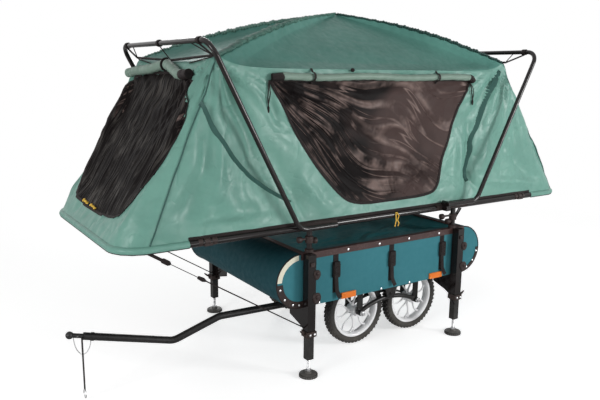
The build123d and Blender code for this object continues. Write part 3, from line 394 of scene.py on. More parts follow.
STEEL = coat("dark steel tube", (0.010, 0.010, 0.0105), (0.09, 0.09, 0.09), 0.2, 0.12,
             (0.24, 0.36), 0.05, 0.0005, shine=0.28)
PLASTIC = coat("brown black moulding", (0.026, 0.016, 0.0145), (0.09, 0.065, 0.055), 0.4, 0.1,
               (0.42, 0.6), 0.15, 0.0005, shine=0.25)
RUBBER = coat("tyre rubber", (0.018, 0.018, 0.0185), (0.09, 0.087, 0.083), 0.5, 0.35,
              (0.62, 0.85), 0.3, 0.0008, shine=0.2)
CAST = coat("white cast wheel", (0.90, 0.90, 0.91), (0.7, 0.7, 0.71), 0.1, 0.05,
            (0.28, 0.42), 0.05, 0.0004, Coat_Weight=0.3)
ZINC = coat("zinc plated steel", (0.68, 0.68, 0.69), (0.40, 0.39, 0.38), 0.3, 0.1,
            (0.22, 0.4), 0.08, 0.0003, Metallic=1.0)
PAD = coat("grey foot moulding", (0.050, 0.050, 0.050), (0.16, 0.16, 0.155), 0.5, 0.3,
           (0.45, 0.65), 0.3, 0.0008, shine=0.25)
ORANGE = coat("orange reflector", (0.86, 0.235, 0.035), (0.95, 0.40, 0.12), 0.3, 0.0,
              (0.18, 0.3), 0.4, 0.0012, grain=420.0, shine=0.3)
CREAM = coat("cream reflective tape", (0.72, 0.70, 0.56), (0.50, 0.48, 0.38), 0.5, 0.0,
             (0.3, 0.45), 0.3, 0.0008, grain=500.0)

CORNERS = [f"{end}_{side}" for end in ("front", "rear") for side in ("left", "right")]
CAD_FINISH = (
    (BAND, ["top_frame"]), (COVER, ["cargo_cover"]), (CREAM, ["reflective_tape"]), (ORANGE, ["reflectors"]),
    (PLASTIC, ["leg_locks", "mast_knobs", "corner_guards"]), (BOOT, ["rail_boots"]),
    (SHADED_CANVAS, ["front_skin"]), (CANVAS, ["side_panel_left", "side_panel_right", "rear_skin", "floor"]),
    (ZINC, ["strap_ring", "pin_wire"]), (WEBBING, ["front_stays", "safety_strap", "cargo_straps"]),
    (DECK, ["mid_deck", "front_deck", "rear_deck"]),
    (TUBE, ["floor_frame", "leg_sleeves", "bed_masts", "mid_rails", "hoop_bolts", "front_rails", "rear_rails",
            "front_hoop", "rear_hoop"]),
    (STEEL, ["beam_left", "beam_right", "beam_hangers", "drawbar", "drawbar_clamp", "hitch_head"]),
    (RUBBER, [f"tyre_{corner}" for corner in CORNERS]), (CAST, [f"wheel_{corner}" for corner in CORNERS]),
    (STEEL, [f"leg_{corner}" for corner in CORNERS]))
for node_finish, node_names in CAD_FINISH:
    for node_name in node_names:
        node_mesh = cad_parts[node_name].data
        node_mesh.materials.clear()
        node_mesh.materials.append(node_finish)


# Sizes shared with the solids, in millimetres
LEG_X, LEG_Y, SLEEVE_HALF = 403, 418, 18
RAIL_Y = 400
WHEEL_Y, WHEEL_R = 247.0, 150.0


# Making pieces
def finished(name, bm, material, smooth=radians(40), solid=0.0, bevel=0.0):
    """Object of a bmesh whose faces point outwards, with its material and live finishing modifiers."""
    mesh = bpy.data.meshes.new(name)
    bm.to_mesh(mesh)
    bm.free()
    mesh.materials.append(material)
    piece = bpy.data.objects.new(name, mesh)
    bpy.context.scene.collection.objects.link(piece)
    mesh.shade_smooth()
    mesh.set_sharp_from_angle(angle=smooth)
    if solid:
        uses = Counter(loop.edge_index for loop in mesh.loops)
        for edge in mesh.edges:
            if uses[edge.index] == 1:
                edge.use_edge_sharp = True
        thickness = piece.modifiers.new("thickness", "SOLIDIFY")
        thickness.thickness, thickness.offset = solid, -1.0
    if bevel:
        edges = piece.modifiers.new("edges", "BEVEL")
        edges.width, edges.segments, edges.limit_method, edges.angle_limit = bevel, 2, "ANGLE", radians(35)
    return piece


def fitted(name, bm, material, slot, body, *stands_for, bevel=0.0):
    """Finished piece that rides a body, in place of the nodes it stands for."""
    piece = finished(name, outward(bm), material, bevel=bevel)
    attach(piece, body)
    if stands_for:
        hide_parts(*stands_for)
    return piece


def swept(bm, route, radius, sides=10, wide=1.0):
    """Closed bar along a route of points: a grid rolled into a tube. radius may be one per point."""
    radii = radius if isinstance(radius, (list, tuple)) else [radius] * len(route)
    last = len(route) - 1
    side_way = Vector((1, 0, 0)) if abs((route[1] - route[0]).normalized().z) > 0.8 else Vector((0, 0, 1))
    frames = []
    for i in range(len(route)):
        ahead = (route[min(i + 1, last)] - route[max(i - 1, 0)]).normalized()
        side_way = (side_way - ahead * side_way.dot(ahead)).normalized()
        frames.append((ahead.cross(side_way) * wide, side_way))
    tube = bmesh.new()
    bmesh.ops.create_grid(tube, x_segments=sides, y_segments=last, size=0.5)
    for v in tube.verts:
        turn, i = 2 * pi * round((v.co.x + 0.5) * sides) / sides, round((v.co.y + 0.5) * last)
        v.co = route[i] + (frames[i][0] * cos(turn) + frames[i][1] * sin(turn)) * radii[i]
    bmesh.ops.remove_doubles(tube, verts=tube.verts, dist=1e-7)
    bmesh.ops.holes_fill(tube, edges=[e for e in tube.edges if e.is_boundary], sides=sides)
    bmesh.ops.recalc_face_normals(tube, faces=tube.faces)
    mesh = bpy.data.meshes.new("tube")
    tube.to_mesh(mesh)
    tube.free()
    bm.from_mesh(mesh)
    bpy.data.meshes.remove(mesh)


def block(bm, low, high):
    """Box between two corners of the maker's frame."""
    a, b = at(*low), at(*high)
    made = bmesh.ops.create_cube(bm, size=1.0)["verts"]
    bmesh.ops.scale(bm, vec=[abs(c) for c in b - a], verts=made)
    bmesh.ops.translate(bm, vec=(a + b) / 2, verts=made)
    return made


def bar(bm, points, radius, sides=10, wide=1.0):
    """Closed bar through points of the maker's frame, its radius in millimetres, one or one per point."""
    radii = [r * MM for r in radius] if isinstance(radius, (list, tuple)) else [radius * MM] * len(points)
    swept(bm, [at(*p) for p in points], radii, sides, wide)


def turned(bm, profile, axis_point, axis, steps=48):
    """Closed profile of (radius, along) points spun about an axis through axis_point."""
    axis = Vector(axis).normalized()
    out = axis.orthogonal().normalized()
    verts = [bm.verts.new(Vector(axis_point) + out * r * MM + axis * a * MM) for r, a in profile]
    edges = [bm.edges.new((verts[i], verts[(i + 1) % len(verts)])) for i in range(len(verts))]
    bmesh.ops.spin(bm, geom=verts + edges, cent=axis_point, axis=axis, angle=2 * pi, steps=steps,
                   use_merge=True)


def outward(bm):
    """Weld doubles and turn every face outwards."""
    bmesh.ops.remove_doubles(bm, verts=bm.verts, dist=1e-6)
    bmesh.ops.recalc_face_normals(bm, faces=bm.faces)
    return bm


def rounded(points, times=2, closed=True):
    """Corner-cut copy of a plane outline."""
    for _ in range(times):
        cut = []
        count = len(points)
        for i in range(count if closed else count - 1):
            (ax, ay), (bx, by) = points[i], points[(i + 1) % count]
            cut.append((ax * 0.75 + bx * 0.25, ay * 0.75 + by * 0.25))
            cut.append((ax * 0.25 + bx * 0.75, ay * 0.25 + by * 0.75))
        points = cut if closed else [points[0], *cut, points[-1]]
    return points


def inside(points, a, b):
    """Whether a plane point lies within a closed outline."""
    within = False
    for i, (ax, ay) in enumerate(points):
        bx, by = points[i - 1]
        if (ay > b) != (by > b) and a < (bx - ax) * (b - ay) / (by - ay) + ax:
            within = not within
    return within


def nearest(points, a, b):
    """Nearest place on a closed outline and its distance."""
    best = (1e9, a, b)
    for i, (ax, ay) in enumerate(points):
        bx, by = points[i - 1]
        ex, ey = bx - ax, by - ay
        share = max(0.0, min(1.0, ((a - ax) * ex + (b - ay) * ey) / (ex * ex + ey * ey + 1e-12)))
        px, py = ax + ex * share, ay + ey * share
        gap = hypot(a - px, b - py)
        if gap < best[0]:
            best = (gap, px, py)
    return best


# Tent
HINGE_X = 457.0
FOOT = (-1131.25, 1131.25, 400.75, 100.0)
TOP = (-700.0, 772.0, 372.0, 30.0)
FOOT_Z, WALL_TOP_Z, APEX_Z = 612.8, 1222.0, 1426.0
ROOF_BOW, SEAM_SAG, SEAM_RUN = 30.0, 33.0, 60.0
CELLS_LONG, CELLS_WIDE, CELLS_CORNER, CELLS_WALL, CELLS_ROOF = 188, 104, 8, 54, 40
SIDE_WINDOW = rounded([  # x and z
    (525, 1150), (549, 1147), (533, 1116), (486, 1040), (406, 893), (259, 715), (170, 662), (-13, 662),
    (-247, 664), (-292, 705), (-302, 811), (-352, 900), (-365, 960), (-413, 1048), (-460, 1120), (-474, 1148),
    (-450, 1151)])
END_WINDOW = rounded([  # y and z
    (-318, 1170), (270, 1168), (345, 1084), (362, 941), (350, 825), (318, 745), (215, 666), (-177, 664),
    (-290, 715), (-305, 886), (-312, 1057)])
SIDE_FOLDS = (  # x and z of both ends, half width, height
    ((748, 1215), (600, 860), 34, -9), ((756, 1220), (770, 760), 30, 8), ((735, 1218), (470, 1120), 16, -6),
    ((700, 1160), (905, 640), 40, -10), ((560, 1120), (520, 1000), 14, -4), ((1080, 640), (640, 690), 30, 8),
    ((1000, 660), (520, 655), 16, -6), ((900, 900), (640, 640), 44, 9), ((560, 900), (420, 660), 30, -8),
    ((430, 800), (300, 640), 20, 6), ((-660, 1220), (-500, 1000), 20, -7), ((-655, 1215), (-560, 760), 28, 8),
    ((-650, 1215), (-820, 800), 32, -8), ((-480, 980), (-470, 660), 22, -9),
    ((-420, 900), (-400, 640), 16, 7), ((-560, 700), (-1050, 640), 22, 6),
    ((-640, 900), (-980, 640), 36, -8), ((-450, 760), (-560, 630), 14, -5))
END_FOLDS = (  # y and z
    ((-360, 1215), (-330, 900), 22, -6), ((362, 1215), (352, 800), 22, -6),
    ((300, 1200), (-280, 1185), 14, 5),
    ((330, 700), (-250, 640), 26, -5), ((380, 900), (330, 650), 18, 6), ((-380, 880), (-300, 660), 18, -6))


def ring_places():
    """Where each column of the tent's grid lies: side 0 to 3 with a share along it, or corner 0 to 3."""
    places = []
    for side, cells in enumerate((CELLS_LONG, CELLS_WIDE, CELLS_LONG, CELLS_WIDE)):
        places += [(side, i / cells) for i in range(cells)]
        places += [(side + 10, i / CELLS_CORNER) for i in range(CELLS_CORNER)]
    return places + [places[0]]


def on_ring(place, x0, x1, y, r):
    """Plan position of a column on a rounded rectangle."""
    kind, share = place
    if kind < 10:
        ends = (((x0 + r, y), (x1 - r, y)), ((x1, y - r), (x1, r - y)),
                ((x1 - r, -y), (x0 + r, -y)), ((x0, r - y), (x0, y - r)))[kind]
        return tuple(ends[0][k] + (ends[1][k] - ends[0][k]) * share for k in (0, 1))
    centre = ((x1 - r, y - r), (x1 - r, r - y), (x0 + r, r - y), (x0 + r, y - r))[kind - 10]
    angle = radians(90 - 90 * (kind - 10) - 90 * share)
    return centre[0] + r * cos(angle), centre[1] + r * sin(angle)


def corner_run(place, x, y):
    """Distance along a wall from the nearest top corner."""
    kind = place[0]
    if kind >= 10:
        return 0.0
    if kind in (0, 2):
        return min(TOP[1] - TOP[3] - x, x - TOP[0] - TOP[3])
    return TOP[2] - TOP[3] - abs(y)


def tent_surface(place, row):
    """Point of the taut tent at one column and row of its grid."""
    if row <= CELLS_WALL:
        share = row / CELLS_WALL
        plan = [a + (b - a) * share for a, b in zip(FOOT, TOP)]
        x, y = on_ring(place, *plan)
        top_x, top_y = on_ring(place, *TOP)
        run = corner_run(place, top_x, top_y)
        deep = SEAM_SAG if place[0] in (0, 2) else SEAM_SAG * 0.4
        sag = deep * (1 - exp(-max(run, 0.0) / SEAM_RUN))
        z = FOOT_Z + (WALL_TOP_Z - sag - FOOT_Z) * share
        return x, y, z, run
    share = (row - CELLS_WALL) / CELLS_ROOF
    top_x, top_y = on_ring(place, *TOP)
    run = max(corner_run(place, top_x, top_y), 0.0)
    deep = SEAM_SAG if place[0] in (0, 2) else SEAM_SAG * 0.4
    edge_z = WALL_TOP_Z - deep * (1 - exp(-run / SEAM_RUN))
    ridge = exp(-run / (90.0 * (1.0 - share) + 12.0))
    bow = ROOF_BOW * sin(pi * share) * (0.45 + 0.55 * ridge)
    z = edge_z + (APEX_Z - edge_z) * share + bow
    return top_x * (1 - share), top_y * (1 - share), z, run


def fold_height(folds, a, b):
    """Height of the pulled folds at one place of a wall."""
    total = 0.0
    for (ax, ay), (bx, by), width, height in folds:
        ex, ey = bx - ax, by - ay
        length = hypot(ex, ey)
        along = ((a - ax) * ex + (b - ay) * ey) / length
        if -width < along < length + width:
            off = ((a - ax) * ey - (b - ay) * ex) / length
            if abs(off) < 3 * width:
                share = min(max((along + width) / (length + 2 * width), 0.0), 1.0)
                total += height * exp(-(off / width) ** 2) * sqrt(max(sin(pi * share), 0.0))
    return total


def noise_at(x, y, z):
    """Smooth noise, from about -1 to 1."""
    return noise.noise(Vector((x, y, z)))


def ripples(a, b, seed, long_run, short_run, angle):
    """Fine creases running mostly one way over a plane, from -1 to 1."""
    c, s = cos(angle), sin(angle)
    u, v = (a * c + b * s) / long_run, (b * c - a * s) / short_run
    warp = noise_at(u * 1.3, v * 0.35, seed) * 1.5
    ridge = noise_at(u + warp * 0.4, v + warp, seed + 5.0)
    return (1 - abs(ridge) * 2.4) * 0.75 + noise_at(u * 2.1, v * 2.3 + warp, seed + 9.0) * 0.5


def rays(a, b, centre_a, centre_b, count, seed):
    """Smooth bands that spread from one corner of a wall, from about -1 to 1."""
    angle = atan2(centre_b - b, centre_a - a)
    away = hypot(centre_a - a, centre_b - b)
    drift = 0.25 * noise_at(a / 210, b / 210, seed + 3.0)
    return 1.6 * noise_at((angle + drift) * count, away / 480, seed)


def wall_of(place, row):
    """Which wall a place of the grid belongs to: side, end or roof."""
    if row > CELLS_WALL:
        return "roof"
    kind, share = place
    return "end" if (kind if kind < 10 else kind - 10 + (share > 0.5)) % 2 else "side"


def roof_fold(x, y, z, row, run):
    """Height of the roof's slack and pleats off its taut surface."""
    share = max((row - CELLS_WALL) / CELLS_ROOF, 0.0)
    hold = min(1.0, run / 60.0) * min(1.0, share * 8) * (1 - share)
    pleats = sin(hypot(x - 30, y) / 7.5) * 3.2 * exp(-(run * (1 - share) / 26.0) ** 2) * min(1, share * 14)
    return -14.0 * hold + broad_slack(x, y, z) * 0.7 * (1 - share) + pleats * (1 - share ** 4)


def broad_slack(x, y, z):
    """Large soft unevenness of the cloth."""
    return noise_at(x / 260, y / 260, z / 170) * 6.0 + noise_at(x / 80, y / 80, z / 130) * 4.0


def wall_fold(wall, x, y, z, row, run):
    """Height of a wall's slack, pulled folds, corner rays and gathers off its taut surface."""
    a, b = (x if wall == "side" else y), z
    share = row / CELLS_WALL
    hold = sin(pi * share) ** 0.5 if 0 < share < 1 else 0.0
    height = -9.0 * hold * min(1.0, max(run, 0) / 300.0) + broad_slack(x, y, z) * hold
    pull = min(1.0, share * 9) * min(1.0, (1 - share) * 9 + 0.15)
    height += 1.9 * fold_height(SIDE_FOLDS if wall == "side" else END_FOLDS, a, b) * pull
    edge_hold = min(1.0, share * 9) * min(1.0, (1 - share) * 14 + 0.1)
    for corner in (TOP[0], TOP[1]) if wall == "side" else (-TOP[2], TOP[2]):
        away = hypot(a - corner, b - WALL_TOP_Z)
        height += 15.0 * exp(-away / 320) * edge_hold * rays(a, b, corner, WALL_TOP_Z + 12, 9.0, corner / 90)
    if wall == "end":
        edge = FOOT[2] + (TOP[2] - FOOT[2]) * share - abs(y)
        gathers = noise_at(edge / 17 + b / 210, b / 150, 6.0 + (a > 0)) + \
            0.45 * noise_at(edge / 9 - b / 90, b / 70, 9.0)
        height += 11.0 * gathers * exp(-((edge - 30) / 30) ** 2) * edge_hold
    height += exp(-share * 9.0) * min(1.0, share * 30) * 5.0 * noise_at(x / 46, y / 46, z / 260)
    top_pull = exp(-(1 - share) * 9.0) * min(1.0, (1 - share) * 25)
    return height + top_pull * 3.5 * noise_at(x / 38, y / 38, z / 300 + 4)


def make_tent_mesh():
    """Whole tent skin with its folds; each face knows its wall."""
    places = ring_places()
    columns, rows = len(places) - 1, CELLS_WALL + CELLS_ROOF
    bm = bmesh.new()
    bmesh.ops.create_grid(bm, x_segments=columns, y_segments=rows, size=0.5)
    walls = bm.faces.layers.int.new("wall")
    for face in bm.faces:
        spot = face.calc_center_median()
        wall = wall_of(places[int((spot.x + 0.5) * columns)], (spot.y + 0.5) * rows)
        face[walls] = ("roof", "side", "end").index(wall)
        face.material_index = int(wall == "roof")
    runs = {}
    for v in bm.verts:
        place, row = places[round((v.co.x + 0.5) * columns)], round((v.co.y + 0.5) * rows)
        *v.co, run = tent_surface(place, row)
        runs[v] = (wall_of(place, row), row, run)
    bm.normal_update()
    moves = {}
    for v, (wall, row, run) in runs.items():
        height = roof_fold(*v.co, row, run) if wall == "roof" else wall_fold(wall, *v.co, row, run)
        sign = 1.0 if v.normal.dot(Vector((v.co.x - 20, v.co.y, (v.co.z - 700) * 0.4))) > 0 else -1.0
        moves[v] = v.normal * (sign * height)
    for v, move in moves.items():
        v.co = v.co + move
        x, y, z = v.co
        if runs[v][0] == "side":
            gap, x, z = nearest(SIDE_WINDOW, x, z)
            if gap < 6.0:
                v.co = (x, y, z)
        elif runs[v][0] == "end":
            gap, y, z = nearest(END_WINDOW, y, z)
            if gap < 5.0:
                v.co = (x, y, z)
        v.co = at(*v.co)
    bmesh.ops.remove_doubles(bm, verts=bm.verts, dist=2e-4)
    bmesh.ops.recalc_face_normals(bm, faces=bm.faces)
    return bm


def in_window(face, walls):
    """Whether a tent face is part of a net pane."""
    centre = face.calc_center_median()
    x, y, z = (centre.x - MID_X) / MM, centre.y / MM, centre.z / MM
    return inside(SIDE_WINDOW, x, z) if face[walls] == 1 else face[walls] == 2 and inside(END_WINDOW, y, z)


def crease_net(bm):
    """Long slack bands and fine creases of the net panes, held at their edges."""
    bmesh.ops.subdivide_edges(bm, edges=bm.edges[:], cuts=1, use_grid_fill=True)
    bm.normal_update()
    walls = bm.faces.layers.int["wall"]
    moves = []
    for v in bm.verts:
        x, y, z = (v.co.x - MID_X) / MM, v.co.y / MM, v.co.z / MM
        side = v.link_faces[0][walls] == 1
        a, b = (x, z) if side else (y, z)
        gap = nearest(SIDE_WINDOW if side else END_WINDOW, a, b)[0]
        if side:
            near_corner = exp(-hypot(a - 546, b - 1134) / 420)
            bands = rays(a, b, 560.0, 1150.0, 4.2, 1.0 + (y > 0)) * (5.0 + 13.0 * near_corner)
            thin = rays(a, b, 560.0, 1150.0, 15.0, 4.0) * (1.0 + 4.5 * near_corner)
            gather = rays(a, b, -40.0, 640.0, 7.0, 8.0) * 9.0 * exp(-hypot(a + 40, b - 650) / 150)
            height = bands + thin + gather + 9.0 * noise_at(a / 150, b / 95, 12.0) - 7.0
        else:
            lean = a - (1170 - b) * 0.05
            streaks = 3.4 * noise_at(lean / 17, b / 420, 2.0) + 7.0 * noise_at(lean / 70, b / 700, 5.0)
            height = streaks + 4.0 * exp(-(b - 664) / 110) * noise_at(a / 26, b / 60, 9.0) - 6.0
        moves.append(v.normal * height * min(1.0, gap / 55.0) * MM)
    for v, move in zip(bm.verts, moves):
        v.co += move
    bm.normal_update()


TENT_CELLS = (  # name, x from and to, body, joint that flattens it
    ("front", HINGE_X, 2000.0, "front_end", "front_fold"),
    ("mid_front", 0.0, HINGE_X, "chassis", "front_fold"),
    ("mid_rear", -HINGE_X, 0.0, "chassis", "rear_fold"),
    ("rear", -2000.0, -HINGE_X, "rear_end", "rear_fold"))


def hung(kind, bm, material, stand_for="", solid=0.0, smooth=radians(60)):
    """Pieces of the tent cut at the fold lines: each rides its part of the bed and flattens with its fold."""
    made = {}
    for cell, x0, x1, body, joint in TENT_CELLS:
        part = bm.copy()
        for x, way in ((x0, -1), (x1, 1)):
            if abs(x) < 1500:
                everything = part.verts[:] + part.edges[:] + part.faces[:]
                bmesh.ops.bisect_plane(part, geom=everything, dist=1e-6, plane_co=at(x, 0, 0),
                                       plane_no=(way, 0, 0), clear_outer=True)
        if not part.faces:
            part.free()
            continue
        piece = finished(f"{kind}_{cell}", part, material, smooth=smooth, solid=solid)
        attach(piece, body)
        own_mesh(piece)
        if stand_for:
            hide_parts(f"{stand_for}_{cell}")
        made[cell] = piece
    bm.free()
    return made


def flat_sizes(bm):
    """Flat width, length and area of each cell's share of a cloth, before its creases are set."""
    sizes = {}
    for cell, x0, x1, _, _ in TENT_CELLS:
        faces = [f for f in bm.faces if at(x0, 0, 0).x < f.calc_center_median().x < at(x1, 0, 0).x]
        area = sum(f.calc_area() for f in faces)
        spots = [v.co.x for f in faces for v in f.verts]
        length = max(max(spots) - min(spots), 0.2)
        sizes[cell] = (max(area / length / 0.85, 0.2), length, area)
    return sizes


def make_tent():
    """Tent skin and net panes; returns a tree of the skin to lay trim on."""
    skin = make_tent_mesh()
    tree = BVHTree.FromBMesh(skin)
    net = skin.copy()
    walls = net.faces.layers.int["wall"]
    bmesh.ops.delete(net, geom=[f for f in net.faces if not in_window(f, walls)], context="FACES")
    walls = skin.faces.layers.int["wall"]
    bmesh.ops.delete(skin, geom=[f for f in skin.faces if in_window(f, walls)], context="FACES")
    flat = {kind: flat_sizes(bm) for kind, bm in (("skin", skin), ("net", net))}
    crease_net(net)
    skins = hung("tent_skin", skin, NYLON, stand_for="tent", solid=0.0012)
    # Second material for the roof faces: the nylon darkened with painted shade.
    for piece in skins.values():
        piece.data.materials.append(ROOF)
    nets = hung("tent_net", net, NET, stand_for="mesh", solid=0.0006)
    for kind, pieces in (("skin", skins), ("net", nets)):
        for cell, piece in pieces.items():
            if kind == "net" and cell in ("front", "rear"):
                piece.data.materials.append(DOOR_NET)
                for face in piece.data.polygons:
                    face.material_index = int(abs(face.normal.x) > abs(face.normal.y))
    return tree


make_camera()
make_stage()
TENT = make_tent()


# Tent trim
def on_wall(wall, a, b, lift=0.0):
    """Point on the tent's skin over a plane position of one wall, lifted off it."""
    ways = {"near": (at(a, 900, b), Vector((0, -1, 0))), "far": (at(a, -900, b), Vector((0, 1, 0))),
            "front": (at(1700, a, b), Vector((-1, 0, 0))), "rear": (at(-1700, a, b), Vector((1, 0, 0))),
            "roof": (at(a, b, 1900), Vector((0, 0, -1)))}
    start, way = ways[wall]
    hit, normal, _, _ = TENT.ray_cast(start, way)
    if hit is None:
        return None
    if normal.dot(way) > 0:
        normal = -normal
    return hit + normal * lift * MM


def dense(points, step=14.0):
    """Plane or space points with more put between them, about one each step."""
    out = []
    for a, b in zip(points, points[1:]):
        length = sqrt(sum((q - p) ** 2 for p, q in zip(a, b)))
        count = max(1, round(length / step))
        out += [tuple(p + (q - p) * i / count for p, q in zip(a, b)) for i in range(count)]
    return out + [tuple(points[-1])]


def lay_on(bm, wall, points, radius, lift, sides=6, wide=1.0):
    """Piping along plane points of a wall."""
    route = [on_wall(wall, a, b, lift) for a, b in dense(points)]
    route = [p for p in route if p is not None]
    if len(route) > 1:
        swept(bm, route, radius * MM, sides=sides, wide=wide)


def window_edges():
    """Thin black bindings round the four net panes."""
    bm = bmesh.new()
    for walls, outline in ((("near", "far"), SIDE_WINDOW), (("front", "rear"), END_WINDOW)):
        for wall in walls:
            lay_on(bm, wall, [*outline, outline[0]], 6.6, 0.8, sides=6, wide=0.3)
    hung("window_binding", outward(bm), WEBBING)


SEAM_BACK = 75.0


def seams_and_hem():
    """Dark piping down the corners and a black binding along the foot of the side walls."""
    bm = bmesh.new()
    corner = TOP[3] * 0.3
    for x_top, x_foot in ((TOP[1], FOOT[1]), (TOP[0], FOOT[0])):
        for side in (1, -1):
            route = []
            for i in range(46):
                share = i / 45
                inset = corner + (FOOT[3] * 0.293 - corner) * share
                back = SEAM_BACK * share if x_foot > 0 else 0.0
                x = x_top + (x_foot - x_top) * share + (-inset - back if x_foot > 0 else inset)
                y = side * (TOP[2] + (FOOT[2] - TOP[2]) * share - (0.0 if back else inset))
                z = WALL_TOP_Z + (FOOT_Z - WALL_TOP_Z) * share
                start = at(x, y, z)
                hit, normal = TENT.find_nearest(start)[:2]
                route.append(hit + normal * (0.0015 if normal.dot(start - at(0, 0, 900)) > 0 else -0.0015))
            swept(bm, route, 2.6 * MM, sides=6)
    outward(bm)
    hung("corner_piping", bm, SEAM_AND_SHADOW_CLOTH)
    bm = bmesh.new()
    for side in (1, -1):
        hem = [(x, side * (FOOT[2] - 1.0), FOOT_Z + 4.5) for x in range(-900, 891, 10)]
        bar(bm, hem, 7.0, sides=8, wide=0.45)
    outward(bm)
    hung("hem_binding", bm, WEBBING)


def ridge_sleeves():
    """Flat gathered sleeves over the four ridge poles, with fine cross pleats."""
    # The rear sleeves take the darker copy of the sleeve cloth, as painted shade.
    for end, x_top, way, material in (("front", TOP[1], 1, PLEATED_NYLON), ("rear", TOP[0], -1, SHADED_RIDGE_CLOTH)):
        bm = bmesh.new()
        for side in (1, -1):
            route, radii = [], []
            for i in range(211):
                share = 0.015 + 0.975 * i / 210
                x, y = (x_top - way * 8) * (1 - share), side * (TOP[2] - 8) * (1 - share)
                point = on_wall("roof", x, y, 3.0)
                if point is not None:
                    swell = 0.5 + 0.5 * sin(pi * min(1.0, share * 1.15 + 0.1))
                    pleat = 1.7 * sin(i * 1.9) + 1.4 * noise_at(i * 0.31, side, way)
                    route.append(point)
                    radii.append((8.6 + pleat) * swell * MM)
            swept(bm, route, radii, sides=10, wide=2.3)
        hung(f"ridge_sleeve_{end}", outward(bm), material)


HOOP_SHADOW_ROUTES = (  # x and z of each point
    ((825, 1070), (783, 983), (708, 869), (616, 780), (480, 700)),
    ((-655, 1196), (-592, 1093), (-482, 892), (-498, 833), (-430, 734), (-474, 699)))


def hoop_shadow_strips():
    """Dark strips across the side walls: painted shadow of the hoop poles seen through the nylon."""
    bm = bmesh.new()
    for points in HOOP_SHADOW_ROUTES:
        points = rounded(points, 2, closed=False)
        for wall in ("near", "far"):
            # Painted shadow laid on the wall as a thin dark strip.
            lay_on(bm, wall, points, 15.0, 2.0, sides=6, wide=0.1)
    hung("hoop_shadow_strip", outward(bm), SEAM_AND_SHADOW_CLOTH)


def end_skirts():
    """Hem pockets that wrap the folding ends' rails, with a thin black edge."""
    for sign, end, x_from in ((1, "front", 890.0), (-1, "rear", 905.0)):
        bend = [radians(90 - 10 * i) for i in range(1, 9)]
        corner = [(1030.5 + 100 * cos(angle), 300 + 100 * sin(angle)) for angle in bend]
        half = dense([(x_from, 400.0), (1030.5, 400.0), *corner, (1130.5, 300.0)], 12.0)
        points = half + [(x, -y) for x, y in reversed(half)]
        bm, edge = bmesh.new(), bmesh.new()
        columns, rows = len(points) - 1, 7
        bmesh.ops.create_grid(bm, x_segments=columns, y_segments=rows, size=0.5)
        low_edge = {}
        for v in bm.verts:
            i, j = round((v.co.x + 0.5) * columns), round((v.co.y + 0.5) * rows)
            x, y = points[i]
            bx, by = points[max(i - 1, 0)]
            ax, ay = points[min(i + 1, columns)]
            out = Vector((ay - by, bx - ax)).normalized()
            out = -out if out.dot(Vector((x - 600, y * 0.6))) < 0 else out
            angle = radians(100 - 150 * j / rows)
            ruck = 13.7 + 0.7 * noise_at(i * 0.9, j * 0.3, sign)
            reach = ruck * cos(angle)
            v.co = at(sign * (x + out.x * reach), y + out.y * reach, 600 + ruck * sin(angle))
            if j == rows:
                low_edge[i] = v.co.copy()
        swept(edge, [low_edge[i] for i in sorted(low_edge)], 2.0 * MM, sides=6)
        skirt = finished(f"rail_pocket_{end}", outward(bm), NYLON, solid=0.0008)
        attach(skirt, f"{end}_end")
        fitted(f"rail_pocket_edge_{end}", edge, WEBBING, "webbing", f"{end}_end")


def rolled(bm, points, radius, seed):
    """Rolled-up flap with uneven turns along a route of space points in millimetres."""
    route = dense(points, 9.0)
    swell = [1 + 0.10 * noise_at(i * 0.23, seed, 0) + 0.05 * sin(i * 1.3) for i in range(len(route))]
    bar(bm, route, [radius * share for share in swell], sides=12)


ROLL_Z, ROLL_R = 1161.0, 15.0
SIDE_TIES = (377.0, -260.0)


def tie_round(bm, wall, x, z, out, reach):
    """Flat tie hung down over a roll on a side wall."""
    y = on_wall(wall, x, z).y / MM
    turn = [radians(d) for d in range(100, -101, -20)]
    loop = [(x, y + out * (ROLL_R - 2 + reach * cos(a)), z + reach * sin(a)) for a in turn]
    bar(bm, [(x, y, z + 30), *loop, (x, y + out * 3, z - 26)], 5.0, sides=6, wide=0.3)


